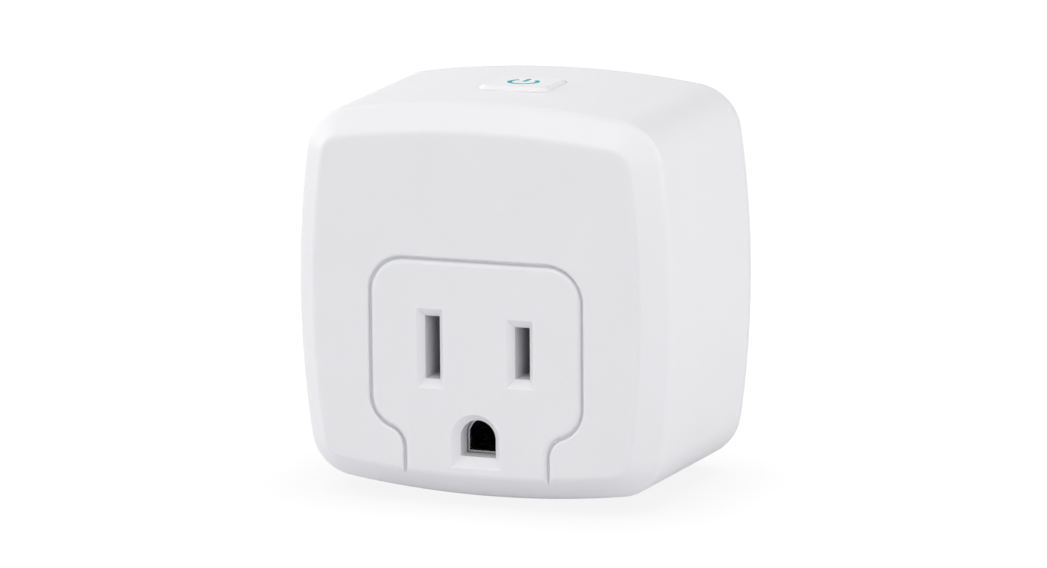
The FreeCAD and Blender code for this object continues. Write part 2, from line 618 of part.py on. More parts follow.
def wifi_shield():
    """The pressed metal can over the radio chip."""
    top = CONTROL_Z - CONTROL_THICK - 0.8
    can = box(-6.2, 6.2, -23.6, -14.4, top - 1.9, top)
    can = can.makeFillet(0.35, edges_where(can, lambda p: abs(p.z - top + 1.9) < 1e-6))
    return can.cut(box(-6.0, 6.0, -23.4, -14.6, top - 1.7, top + 1))


def wifi_antenna():
    """The meandering copper trace at the module's free end."""
    low = CONTROL_Z - CONTROL_THICK - 0.8
    thick, width, pitch, count = 0.1, 0.5, 1.5, 9
    y0, y1 = CONTROL_FRONT_Y + 2.3, -24.6
    strips = []
    for i in range(count):
        x = -6 + i * pitch
        strips.append(box(x, x + width, y0, y1, low - thick, low))
        if i + 1 < count:
            y = y0 if i % 2 else y1 - width
            strips.append(box(x, x + pitch + width, y, y + width, low - thick, low))
    return fuse(strips)


def board_cutters():
    """Everything that passes through the main board."""
    cutters = relay_pins() + capacitor_leads() + header_pins() + part_leads() + contact_tails()
    cutters += blade_tail_solids()
    cutters += [rod(x, BOARD_FRONT_Y - 1, z, SCREW_R + 0.3, 4) for x, z in corner_bosses()]
    return cutters


def main_board():
    """The power board, behind everything else and in front of the prongs."""
    board = upright_box(-BOARD_HALF_X, BOARD_HALF_X, BOARD_FRONT_Y, BOARD_REAR_Y, BOARD_LOW_Z, BOARD_HIGH_Z,
                        BOARD_CORNER_R)
    return board.cut(fuse_list(board_cutters()))


# ---- Components of the main board ----
def can_capacitor(x, radius, length):
    """An aluminium can standing on the board, with a crimp groove near its foot and a scored end."""
    start = BOARD_FRONT_Y - STANDOFF
    can = rod(x, start, CAP_Z, radius, length, V(0, -1, 0))
    can = can.makeFillet(0.5, edges_where(can, lambda p: abs(p.y - start + length) < 1e-6))
    crimp = Part.makeTorus(radius + 0.25, 0.6, V(x, start - 2.0, CAP_Z), V(0, 1, 0))
    score = [box(x - radius * 0.7, x + radius * 0.7, start - length - 1, start - length + 0.15,
                 CAP_Z - 0.12, CAP_Z + 0.12),
             box(x - 0.12, x + 0.12, start - length - 1, start - length + 0.15,
                 CAP_Z - radius * 0.7, CAP_Z + radius * 0.7)]
    return can.cut(fuse_list([crimp] + score))


def sleeve(x, radius, length):
    """The plastic sleeve shrunk over a capacitor can, open over the scored end."""
    start = BOARD_FRONT_Y - STANDOFF
    skin = 0.12
    tube = rod(x, start - 2.9, CAP_Z, radius + skin, length - 3.0, V(0, -1, 0))
    return tube.cut(rod(x, start, CAP_Z, radius, length + 1, V(0, -1, 0)))


def capacitor_lead_places():
    """The x places of the three capacitors' leads."""
    pairs = [(x, BULK_SPREAD) for x in BULK_X] + [(OUT_X, OUT_SPREAD)]
    return [x + s * spread for x, spread in pairs for s in (-1, 1)]


def capacitor_leads():
    """Lead wires of the three capacitors, from each can's foot through the board."""
    start = BOARD_FRONT_Y - STANDOFF
    return [rod(x, start, CAP_Z, LEAD_R, LEAD_END_Y - start) for x in capacitor_lead_places()]


def inductor_core():
    """The inductor's ferrite bobbin: two discs on a stem."""
    start = BOARD_FRONT_Y - STANDOFF
    disc_a = rod(INDUCTOR_X, start, INDUCTOR_Z, INDUCTOR_R, 1.2, V(0, -1, 0))
    disc_b = rod(INDUCTOR_X, start - INDUCTOR_L + 1.2, INDUCTOR_Z, INDUCTOR_R, 1.2, V(0, -1, 0))
    stem = rod(INDUCTOR_X, start, INDUCTOR_Z, 1.6, INDUCTOR_L, V(0, -1, 0))
    return fuse([disc_a, disc_b, stem])


def inductor_winding():
    """The wound copper between the inductor's discs."""
    coil = winding(1.65, 3.0, INDUCTOR_L - 2.5, 12)
    coil.translate(V(INDUCTOR_X, BOARD_FRONT_Y - STANDOFF - 1.25, INDUCTOR_Z))
    return coil


def fuse_resistor():
    """The fusible resistor's dog-bone body, standing on the board."""
    start = BOARD_FRONT_Y - STANDOFF
    points = [(0, 0), (1.5, 0), (1.7, 0.4), (1.7, 2.0), (1.45, 2.6), (1.45, 6.4), (1.7, 7.0), (1.7, 8.6),
              (1.5, 9.0), (0, 9.0)]
    body = polygon_face([V(r, -h, 0) for r, h in points]).revolve(V(0, 0, 0), V(0, 1, 0), 360)
    body.translate(V(RESISTOR_X, start, RESISTOR_Z))
    return body


def varistor():
    """The coated surge-absorber disc, standing on edge."""
    disc = rod(VARISTOR_X - VARISTOR_T / 2, VARISTOR_Y, VARISTOR_Z, VARISTOR_R, VARISTOR_T, V(1, 0, 0))
    return disc.makeFillet(1.1, disc.Edges[:1] + disc.Edges[2:])


def part_leads():
    """Leads of the inductor, the fusible resistor and the varistor."""
    start = BOARD_FRONT_Y - STANDOFF
    length = LEAD_END_Y - start
    leads = [rod(INDUCTOR_X + s * INDUCTOR_SPREAD, start, INDUCTOR_Z, LEAD_R, length) for s in (-1, 1)]
    leads.append(rod(RESISTOR_X, start, RESISTOR_Z, LEAD_R, length))
    tip = start - 9.0
    return_x = RESISTOR_X + RESISTOR_RETURN
    bend = [V(RESISTOR_X, tip, RESISTOR_Z), V(RESISTOR_X, tip - 0.8, RESISTOR_Z),
            V(return_x, tip - 0.8, RESISTOR_Z), V(return_x, LEAD_END_Y, RESISTOR_Z)]
    leads.append(wire_run(bend, LEAD_R, 0.7))
    disc = varistor()
    for s in (-1, 1):
        z = VARISTOR_Z + s * VARISTOR_SPREAD
        leads.append(rod(VARISTOR_X, VARISTOR_Y + 1.5, z, LEAD_R, LEAD_END_Y - VARISTOR_Y - 1.5).cut(disc))
    return leads


def wire_run(points, radius, bend_r):
    """A round wire along straight runs with a rounded bend at each corner."""
    edges, previous = [], points[0]
    for i in range(1, len(points) - 1):
        into = (points[i] - points[i - 1]).normalize()
        out = (points[i + 1] - points[i]).normalize()
        start, end = points[i] - into * bend_r, points[i] + out * bend_r
        middle = points[i] + (out - into) * (bend_r * (1 - 1 / math.sqrt(2)))
        if (start - previous).Length > 1e-6:
            edges.append(Part.makeLine(previous, start))
        edges.append(Part.Arc(start, middle, end).toShape())
        previous = end
    edges.append(Part.makeLine(previous, points[-1]))
    path = Part.Wire(edges)
    first = (points[1] - points[0]).normalize()
    section = Part.Wire([Part.makeCircle(radius, points[0], first)])
    return path.makePipeShell([section], True, False)


def chip(x, z, size_x, size_z, height, legs_x, legs_z, leg=0.35):
    """A surface-mount package on the board's rear side and its legs: (body, legs).
    legs_x and legs_z list the leg places along each pair of sides."""
    y = BOARD_REAR_Y
    body = box(x - size_x / 2, x + size_x / 2, y + 0.12, y + height, z - size_z / 2, z + size_z / 2)
    body = body.makeChamfer(0.2, edges_where(body, lambda p: abs(p.y - y - height) < 1e-6))
    reach = 0.75
    legs = []
    for s in (-1, 1):
        for dx in legs_x:
            a, b = z + s * size_z / 2, z + s * (size_z / 2 + reach)
            legs.append(box(x + dx - leg / 2, x + dx + leg / 2, y, y + 0.2, min(a, b), max(a, b)))
        for dz in legs_z:
            a, b = x + s * size_x / 2, x + s * (size_x / 2 + reach)
            legs.append(box(min(a, b), max(a, b), y, y + 0.2, z + dz - leg / 2, z + dz + leg / 2))
    return body, legs


def small_parts(places, thick):
    """Surface-mount resistors or ceramic capacitors on the board's rear side."""
    parts = []
    for x, z in places:
        body = box(x - 1.0, x + 1.0, BOARD_REAR_Y, BOARD_REAR_Y + thick, z - 0.62, z + 0.62)
        parts.append(body.makeFillet(0.12, edges_where(body, lambda p: p.y > BOARD_REAR_Y + 0.1)))
    return parts


# ---- Power path ----
def blade(x, width):
    """A flat plug blade with a rounded, chamfered tip, a locking hole, a flange and a tail into the board."""
    half = width / 2
    prong = box(x - BLADE_THICK / 2, x + BLADE_THICK / 2, SEAM_Y - 0.7, BLADE_LENGTH, -half, half)
    tip = edges_where(prong, lambda p: abs(p.y - BLADE_LENGTH) < 1e-6)
    across = [e for e in tip if abs(e.Vertexes[0].Point.z - e.Vertexes[1].Point.z) < 1e-6]
    prong = prong.makeFillet(1.2, across)
    along = [e for e in edges_where(prong, lambda p: p.y > BLADE_LENGTH - 1e-3)
             if abs(e.Vertexes[0].Point.z - e.Vertexes[1].Point.z) > 1.5]
    prong = prong.makeChamfer(0.45, along)
    hole = rod(x - 3, 11.7, 0, 1.6, 6, V(1, 0, 0))
    thick = BLADE_THICK / 2
    flange = box(x - thick - 1.0, x + thick + 1.0, SEAM_Y - 1.7, SEAM_Y - 0.7, -half, half)
    tail = box(x - thick, x + thick, BOARD_FRONT_Y - 3.2, SEAM_Y - 1.7, -2.0, 2.0)
    return fuse([prong.cut(hole), flange, tail])


def ground_pin():
    """The round ground pin: a domed prong, a shoulder in the cover, a collar behind it and a thin tail."""
    collar_end = SEAM_Y - 0.7
    collar_start = collar_end - 1.0
    tail_start = BOARD_FRONT_Y - 3.2
    prong = rod(0, 0, GROUND_Z, GROUND_PIN_R, GROUND_PIN_LENGTH)
    prong = prong.makeFillet(2.1, edges_where(prong, lambda p: abs(p.y - GROUND_PIN_LENGTH) < 1e-6))
    shoulder = rod(0, collar_end, GROUND_Z, GROUND_SHOULDER_R, -collar_end)
    collar = rod(0, collar_start, GROUND_Z, 3.4, collar_end - collar_start)
    tail = rod(0, tail_start, GROUND_Z, 1.4, collar_start - tail_start)
    return fuse([prong, shoulder, collar, tail])


def blade_tail_solids():
    """The prongs' tails where they cross the main board."""
    tail = 2.05
    half_t = BLADE_THICK / 2 + 0.05
    tails = [box(x - half_t, x + half_t, BOARD_FRONT_Y - 1, BOARD_REAR_Y + 1, -tail, tail)
             for x in (-BLADE_X, BLADE_X)]
    return tails + [rod(0, BOARD_FRONT_Y - 1, GROUND_Z, 1.45, 4)]


def leaf_pair(x, height):
    """Two bowed spring leaves that grip a blade, joined by a web behind it."""
    start = CONTACT_FRONT_Y
    line = [(1.75, start + 0.1), (GRIP_HALF, start + 2.4), (GRIP_HALF, start + 3.6), (1.5, WEB_Y - 1.2),
            (1.5, WEB_Y)]
    parts = []
    for s in (-1, 1):
        inner = [V(x + s * dx, y, -height / 2) for dx, y in line]
        outer = [V(x + s * (dx + METAL), y, -height / 2) for dx, y in reversed(line)]
        parts.append(polygon_face(inner + outer).extrude(V(0, 0, height)))
    reach = 1.5 + METAL
    parts.append(box(x - reach, x + reach, WEB_Y, WEB_Y + METAL, -height / 2, height / 2))
    return parts


def neutral_tail():
    """The strap from the neutral contact's web back to the blade's tail."""
    x = -BLADE_X - BLADE_THICK / 2 - 0.8
    return [box(x, x + 0.8, WEB_Y + METAL, BOARD_FRONT_Y - 0.4, -2.0, 2.0)]


def neutral_contact():
    """The outlet's neutral spring contact with its strap."""
    return fuse(leaf_pair(-BLADE_X, 7.4) + neutral_tail())


def line_tail():
    """The strap from the line contact, stepped outwards and down through the main board."""
    x0 = BLADE_X + 1.5
    x1, x2 = LINE_STRAP_X, LINE_STRAP_X + LINE_STRAP_T
    mid_y = CARRIER_REAR_Y + RETAINER_THICK + 0.6
    return [box(x0, x0 + METAL, WEB_Y, mid_y + LINE_STRAP_T, -1.8, 1.8),
            box(x0, x2, mid_y, mid_y + LINE_STRAP_T, -1.8, 1.8),
            box(x1, x2, mid_y, LEAD_END_Y, -1.8, 1.8)]


def line_contact():
    """The outlet's line spring contact with its strap to the relay's side of the board."""
    return fuse(leaf_pair(BLADE_X, 6.4) + line_tail())


def ground_contact():
    """The arch-shaped ground sleeve, slit along its top, with a strap back to the ground pin."""
    inner_r = GROUND_GRIP_R
    outer_r = inner_r + GROUND_SLEEVE_T
    start = GROUND_CONTACT_FRONT_Y
    length = WEB_Y - 1.0 - start
    sleeve_solid = Part.Face(dee_wire(outer_r, start)).extrude(V(0, length, 0))
    hollow = Part.Face(dee_wire(inner_r, start - 1)).extrude(V(0, length + 2, 0))
    slit = box(-0.5, 0.5, start + 5, start + length + 1, GROUND_Z, GROUND_Z + 5)
    low = GROUND_Z - outer_r
    strap = box(-1.9, 1.9, start, BOARD_FRONT_Y - 1.6, low, low + 0.5)
    tab = box(-1.9, 1.9, BOARD_FRONT_Y - 2.2, BOARD_FRONT_Y - 1.6, low, GROUND_Z + 2.2)
    bore = rod(0, BOARD_FRONT_Y - 4, GROUND_Z, 1.42, 6)
    return fuse([sleeve_solid.cut(fuse_list([hollow, slit])), strap, tab]).cut(bore)


def contact_tails():
    """The one contact strap that passes through the main board, as a cutter."""
    x0, x1 = LINE_STRAP_X - 0.05, LINE_STRAP_X + LINE_STRAP_T + 0.05
    return [box(x0, x1, BOARD_FRONT_Y - 1, BOARD_REAR_Y + 1, -1.85, 1.85)]


def carrier_ears():
    """The two (x, z) places of the carrier's screws."""
    return [(sx * EAR_X, EAR_Z) for sx in (-1, 1)]


def contact_carrier():
    """The insulating block behind the front wall, with a channel and a pocket for each contact."""
    block = upright_box(-CARRIER_HALF_X, CARRIER_HALF_X, INNER_FRONT_Y, CARRIER_REAR_Y, CARRIER_LOW_Z,
                        CARRIER_HIGH_Z, 1.2)
    ears = [box(min(0, sx * EAR_X), max(0, sx * EAR_X), CARRIER_REAR_Y - EAR_THICK, CARRIER_REAR_Y,
                EAR_Z - EAR_R, EAR_Z + EAR_R) for sx in (-1, 1)]
    ears += [rod(x, CARRIER_REAR_Y - EAR_THICK, z, EAR_R, EAR_THICK) for x, z in carrier_ears()]
    cutters = [rod(x, CARRIER_REAR_Y - 5, z, SCREW_R + 0.15, 8) for x, z in carrier_ears()]
    for x, height, pocket in ((-BLADE_X, NEUTRAL_SLOT_H, 7.6), (BLADE_X, LINE_SLOT_H, 6.6)):
        cutters.append(box(x - SLOT_WIDTH / 2, x + SLOT_WIDTH / 2, INNER_FRONT_Y - 1, CONTACT_FRONT_Y + 0.5,
                           -height / 2, height / 2))
        cutters.append(box(x - 2.5, x + 2.5, CONTACT_FRONT_Y, CARRIER_REAR_Y + 1, -pocket / 2, pocket / 2))
    cutters.append(Part.Face(dee_wire(GROUND_HOLE_R, INNER_FRONT_Y - 1)).extrude(V(0, 5, 0)))
    pocket_wire = dee_wire(GROUND_GRIP_R + GROUND_SLEEVE_T + 0.15, GROUND_CONTACT_FRONT_Y - 0.3)
    cutters.append(Part.Face(pocket_wire).extrude(V(0, 20, 0)))
    return fuse([block] + ears).cut(fuse_list(cutters))


def contact_retainer():
    """The plate that closes the carrier behind the contacts, with slots for their straps."""
    y0, y1 = CARRIER_REAR_Y, CARRIER_REAR_Y + RETAINER_THICK
    plate = upright_box(-CARRIER_HALF_X, CARRIER_HALF_X, y0, y1, CARRIER_LOW_Z, CARRIER_HIGH_Z, 1.2)
    ears = [box(min(0, x), max(0, x), y0, y1, z - EAR_R, z + EAR_R) for x, z in carrier_ears()]
    ears += [rod(x, y0, z, EAR_R, RETAINER_THICK) for x, z in carrier_ears()]
    cutters = [rod(x, y0 - 1, z, SCREW_R + 0.15, 5) for x, z in carrier_ears()]
    cutters.append(box(-BLADE_X - 1.8, -BLADE_X - 0.5, y0 - 1, y1 + 1, -2.2, 2.2))
    cutters.append(box(BLADE_X + 1.3, BLADE_X + 2.4, y0 - 1, y1 + 1, -2.0, 2.0))
    cutters.append(rod(0, y0 - 1, GROUND_Z, GROUND_PIN_R + 0.3, 5))
    low = GROUND_Z - GROUND_GRIP_R - GROUND_SLEEVE_T
    cutters.append(box(-2.1, 2.1, y0 - 1, y1 + 1, low - 0.2, low + 0.8))
    return fuse([plate] + ears).cut(fuse_list(cutters))


# ---- Relay ----
def relay_box(u0, u1, w0, w1, h0, h1):
    """A block in the relay's own lengths."""
    return box(RELAY_X + u0, RELAY_X + u1, RELAY_Y - h1, RELAY_Y - h0, RELAY_Z + w0, RELAY_Z + w1)


def relay_rod(u, w, h, radius, length):
    """A cylinder standing up from the relay's base."""
    return rod(RELAY_X + u, RELAY_Y - h, RELAY_Z + w, radius, length, V(0, -1, 0))


def relay_coil_pins():
    """The coil's two round pins, from the bobbin's foot through the base and the board."""
    start, length = RELAY_Y - BOBBIN_LOW, BOBBIN_LOW + PIN_DEPTH
    return [rod(RELAY_X + COIL_PIN_U, start, RELAY_Z + w, COIL_PIN_R, length) for w in COIL_PIN_W]


def relay_common_pin():
    """The flat pin under the yoke."""
    return relay_box(PIVOT_U - YOKE_T + 0.2, PIVOT_U - 0.3, PIN_W0, PIN_W1, -PIN_DEPTH, BASE_H)


def relay_terminal():
    """The fixed contact's upright strip with its pin."""
    strip = relay_box(TERMINAL_U, TERMINAL_U + METAL, 3.4, 6.8, 0.6, CONTACT_H + 1.7)
    hole = rod(RELAY_X + TERMINAL_U - 1, RELAY_Y - CONTACT_H, RELAY_Z + CORE_W, 0.7, 3, V(1, 0, 0))
    pin = relay_box(TERMINAL_U, TERMINAL_U + METAL, PIN_W0, PIN_W1, -PIN_DEPTH, 0.6)
    return fuse([strip, pin]).cut(hole)


def relay_pins():
    """The relay's pins, as cutters for the main board."""
    return relay_coil_pins() + [relay_common_pin(), relay_terminal()]


def relay_base():
    """The relay's moulded foot."""
    foot = relay_box(CASE_WALL, RELAY_U - CASE_WALL, CASE_WALL, RELAY_W - CASE_WALL, 0, BASE_H)
    return foot.cut(fuse_list(relay_pins()))


def relay_case():
    """The relay's cover, open at the board, with a small vent nib on its end."""
    case = relay_box(0, RELAY_U, 0, RELAY_W, 0, RELAY_H)
    case = case.makeFillet(0.5, edges_where(case, lambda p: p.y < RELAY_Y - RELAY_H + 0.1))
    hollow = relay_box(CASE_WALL, RELAY_U - CASE_WALL, CASE_WALL, RELAY_W - CASE_WALL,
                       -1, RELAY_H - CASE_WALL)
    vent = relay_rod(RELAY_U - 2.4, 2.2, RELAY_H - 0.2, 0.7, 0.4)
    return case.cut(hollow).fuse(vent)


def relay_yoke():
    """The L-shaped iron yoke: a foot under the coil, a leg beside it and the common pin."""
    foot = relay_box(CORE_U - 2.6, PIVOT_U, YOKE_W0, YOKE_W1, BASE_H, BASE_H + YOKE_T)
    leg = relay_box(PIVOT_U - YOKE_T, PIVOT_U, YOKE_W0, YOKE_W1, BASE_H, POLE_H)
    iron = fuse([foot, leg, relay_common_pin()])
    return iron.cut(relay_rod(CORE_U, CORE_W, 0, CORE_R, 6))


def relay_core():
    """The iron core with its pole disc at the armature's end."""
    shaft = relay_rod(CORE_U, CORE_W, BASE_H, CORE_R, BOBBIN_HIGH - BASE_H)
    return fuse([shaft, relay_rod(CORE_U, CORE_W, BOBBIN_HIGH, 2.9, POLE_H - BOBBIN_HIGH)])


def relay_bobbin():
    """The coil former: two square flanges on a tube."""
    flanges = [relay_box(CORE_U - 4.3, CORE_U + 4.3, CORE_W - 4.2, CORE_W + 4.2, h, h + FLANGE_T)
               for h in (BOBBIN_LOW, BOBBIN_HIGH - FLANGE_T)]
    tube = relay_rod(CORE_U, CORE_W, BOBBIN_LOW, CORE_R + 0.6, BOBBIN_HIGH - BOBBIN_LOW)
    return fuse(flanges + [tube]).cut(relay_rod(CORE_U, CORE_W, 0, CORE_R, RELAY_H))


def winding(inner_r, outer_r, length, turns):
    """A wound coil along -Y from the origin, with one low ridge for each turn."""
    step = length / turns
    profile = [V(inner_r, 0, 0)]
    for i in range(turns):
        profile += [V(outer_r - 0.3 * step, -i * step, 0), V(outer_r, -(i + 0.5) * step, 0)]
    profile += [V(outer_r - 0.3 * step, -length, 0), V(inner_r, -length, 0)]
    return polygon_face(profile).revolve(V(0, 0, 0), V(0, 1, 0), 360)


def relay_coil():
    """The relay's copper winding."""
    low, high = BOBBIN_LOW + FLANGE_T, BOBBIN_HIGH - FLANGE_T
    coil = winding(CORE_R + 0.6, 3.95, high - low, 14)
    coil.translate(V(RELAY_X + CORE_U, RELAY_Y - low, RELAY_Z + CORE_W))
    return coil


def swung(shape):
    """A part of the armature, built against the pole, moved to its rest position."""
    shape.rotate(V(RELAY_X + PIVOT_U, RELAY_Y - PIVOT_H, 0), V(0, 0, 1), ARMATURE_DEG)
    return shape


def relay_armature():
    """The iron plate that swings on the yoke's edge."""
    plate = relay_box(CORE_U - 3.5, PIVOT_U, CORE_W - 3.1, CORE_W + 3.1, PIVOT_H, PIVOT_H + 1.0)
    side = edges_where(plate, lambda p: p.x < RELAY_X + CORE_U - 3.4)
    upright = [e for e in side if abs(e.Vertexes[0].Point.y - e.Vertexes[1].Point.y) > 0.5]
    return swung(plate.makeFillet(0.8, upright))


def relay_contact_spring():
    """The bent leaf spring: one leg riveted on the armature, the other carrying the moving contact."""
    top, turn = PIVOT_H + 1.0, 0.7
    half = 1.9
    u_out = SPRING_U + SPRING_T
    w0, w1 = CORE_W - half, CORE_W + half
    centre_u, centre_h = u_out - turn, top + SPRING_T - turn
    level = relay_box(CORE_U - 1.6, centre_u, w0, w1, top, top + SPRING_T)
    leg = relay_box(SPRING_U, u_out, w0, w1, CONTACT_H - 1.4, centre_h)
    outer = relay_box(centre_u, u_out, w0, w1, centre_h, top + SPRING_T)
    start = V(RELAY_X + centre_u, RELAY_Y - centre_h, RELAY_Z + w0)
    ring = Part.makeCylinder(turn, 2 * half, start, V(0, 0, 1)).cut(
        Part.makeCylinder(turn - SPRING_T, 2 * half, start, V(0, 0, 1)))
    hole = rod(RELAY_X + SPRING_U - 1, RELAY_Y - CONTACT_H, RELAY_Z + CORE_W, 0.6, 3, V(1, 0, 0))
    rivets = [relay_rod(CORE_U + du, CORE_W, top + SPRING_T, 0.8, 0.35) for du in (0.2, 2.8)]
    return swung(fuse([level, ring.common(outer), leg] + rivets).cut(hole))


def contact_rivet(face_u, back_u, shank_u):
    """A silver contact from its domed face to its back, with a shank through the strip behind it."""
    axis = V(1 if back_u > face_u else -1, 0, 0)
    centre = V(RELAY_X + face_u, RELAY_Y - CONTACT_H, RELAY_Z + CORE_W)
    head = Part.makeCylinder(1.3, abs(back_u - face_u), centre, axis)
    head = head.makeFillet(0.25, edges_where(head, lambda p: abs(p.x - RELAY_X - face_u) < 1e-6))
    shank_start = V(RELAY_X + back_u, centre.y, centre.z)
    radius = 0.7 if axis.x > 0 else 0.6
    return fuse([head, Part.makeCylinder(radius, abs(shank_u - back_u), shank_start, axis)])


def relay_moving_contact():
    """The contact on the spring's free end."""
    face = TERMINAL_U - 0.75
    return swung(contact_rivet(face, SPRING_U + SPRING_T, SPRING_U - 0.1))


def relay_fixed_contact():
    """The contact on the terminal strip."""
    return contact_rivet(TERMINAL_U - 0.7, TERMINAL_U, TERMINAL_U + METAL + 0.1)


# ---- Smaller pieces ----
def board_screws():
    """The four screws that hold the main board to the shell's posts."""
    return [screw(x, z, BOARD_REAR_Y, 6.5) for x, z in corner_bosses()]


def carrier_screws():
    """The two screws that hold the carrier and its retainer."""
    return [screw(x, z, CARRIER_REAR_Y + RETAINER_THICK, 8.0) for x, z in carrier_ears()]


def line_jumper():
    """A tinned wire on the board's rear side, from the line blade's tail to the relay's common pin."""
    y = BOARD_REAR_Y + 0.55
    start = V(BLADE_X + BLADE_THICK / 2 + 0.75, y, 1.2)
    turn_x = start.x + 3.2
    points = [start, V(turn_x, y, 1.2), V(turn_x, y, 12.6), V(RELAY_X + PIVOT_U - 0.3, y, 12.6)]
    return wire_run(points, 0.5, 1.2)


def solder_joint(x, z, lead, size):
    """A small cone of solder round a lead on the board's rear side."""
    cone = Part.makeCone(size, lead + 0.1, 0.8, V(x, BOARD_REAR_Y, z), V(0, 1, 0))
    return cone.cut(rod(x, BOARD_REAR_Y - 1, z, lead, 3))


def solder_joints():
    """Solder round the round leads of the capacitors, inductor, fusible resistor, varistor and relay coil."""
    places = [(x, CAP_Z) for x in capacitor_lead_places()]
    places += [(INDUCTOR_X + s * INDUCTOR_SPREAD, INDUCTOR_Z) for s in (-1, 1)]
    places += [(RESISTOR_X, RESISTOR_Z), (RESISTOR_X + RESISTOR_RETURN, RESISTOR_Z)]
    places += [(VARISTOR_X, VARISTOR_Z + s * VARISTOR_SPREAD) for s in (-1, 1)]
    joints = [solder_joint(x, z, LEAD_R, 0.9) for x, z in places]
    coil_x = RELAY_X + COIL_PIN_U
    return joints + [solder_joint(coil_x, RELAY_Z + w, COIL_PIN_R, 0.95) for w in COIL_PIN_W]


def insulating_sheet():
    """The stiff paper barrier between the main board's solder side and the rear cover's prong collars."""
    y0 = SEAM_Y - 1.7 - 0.35
    sheet = upright_box(-17.5, 17.5, y0, y0 + 0.3, -9.6, 9.0, 1.5)
    slots = [box(sx * BLADE_X - 0.95, sx * BLADE_X + 0.95, y0 - 1, y0 + 1, -2.2, 2.2) for sx in (-1, 1)]
    return sheet.cut(fuse_list(slots))


def build_parts():
    """Every sub-part by name: one shape, or a list for identical pieces that share a name."""
    chips = {name: chip(*spec) for name, spec in CHIPS.items()}
    parts = {
        "front_shell": front_shell(),
        "rear_cover": rear_cover(),
        "button_cap": button_cap(),
        "symbol_light_guide": symbol_light_guide(),
        "switch_body": switch_body(),
        "switch_frame": switch_frame(),
        "switch_plunger": switch_plunger(),
        "switch_dome": switch_dome(),
        "switch_legs": switch_legs(),
        "status_led": status_led(),
        "led_lens": led_lens(),
        "control_board": control_board(),
        "header_body": header_body(),
        "header_pins": header_pins(),
        "wifi_board": wifi_board(),
        "wifi_shield": wifi_shield(),
        "wifi_antenna": wifi_antenna(),
        "main_board": main_board(),
        "bulk_capacitors": [can_capacitor(x, BULK_R, BULK_L) for x in BULK_X],
        "output_capacitor": can_capacitor(OUT_X, OUT_R, OUT_L),
        "capacitor_sleeves": [sleeve(x, BULK_R, BULK_L) for x in BULK_X] + [sleeve(OUT_X, OUT_R, OUT_L)],
        "capacitor_leads": capacitor_leads(),
        "inductor_core": inductor_core(),
        "inductor_winding": inductor_winding(),
        "fuse_resistor": fuse_resistor(),
        "varistor": varistor(),
        "part_leads": part_leads(),
        "solder_joints": solder_joints(),
        "resistors": small_parts(RESISTOR_PLACES, 0.55),
        "ceramic_capacitors": small_parts(CERAMIC_PLACES, 1.1),
        "chip_legs": [leg for body, legs in chips.values() for leg in legs],
        "relay_base": relay_base(),
        "relay_case": relay_case(),
        "relay_yoke": relay_yoke(),
        "relay_core": relay_core(),
        "relay_bobbin": relay_bobbin(),
        "relay_coil": relay_coil(),
        "relay_coil_pins": relay_coil_pins(),
        "relay_terminal": relay_terminal(),
        "relay_fixed_contact": relay_fixed_contact(),
        "relay_armature": relay_armature(),
        "relay_contact_spring": relay_contact_spring(),
        "relay_moving_contact": relay_moving_contact(),
        "line_blade": blade(BLADE_X, LINE_BLADE_W),
        "neutral_blade": blade(-BLADE_X, NEUTRAL_BLADE_W),
        "ground_pin": ground_pin(),
        "line_contact": line_contact(),
        "neutral_contact": neutral_contact(),
        "ground_contact": ground_contact(),
        "contact_carrier": contact_carrier(),
        "contact_retainer": contact_retainer(),
        "carrier_screws": carrier_screws(),
        "board_screws": board_screws(),
        "line_jumper": line_jumper(),
        "insulating_sheet": insulating_sheet(),
    }
    parts.update({name: body for name, (body, legs) in chips.items()})
    return parts


os.makedirs("parts", exist_ok=True)
for name, shape in build_parts().items():
    if isinstance(shape, list):
        shape = Part.makeCompound(shape)
    shape.exportStep("parts/" + name + ".step")
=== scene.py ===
"""The looks of a smart plug: finishes for every CAD part, coils, dome, solder, tracks, studio and camera.

Metres, in the CAD frame: +X right seen from the front, +Y into the wall, +Z up.
"""
import json
import math
import bpy
import bmesh
from mathutils import Matrix, Vector


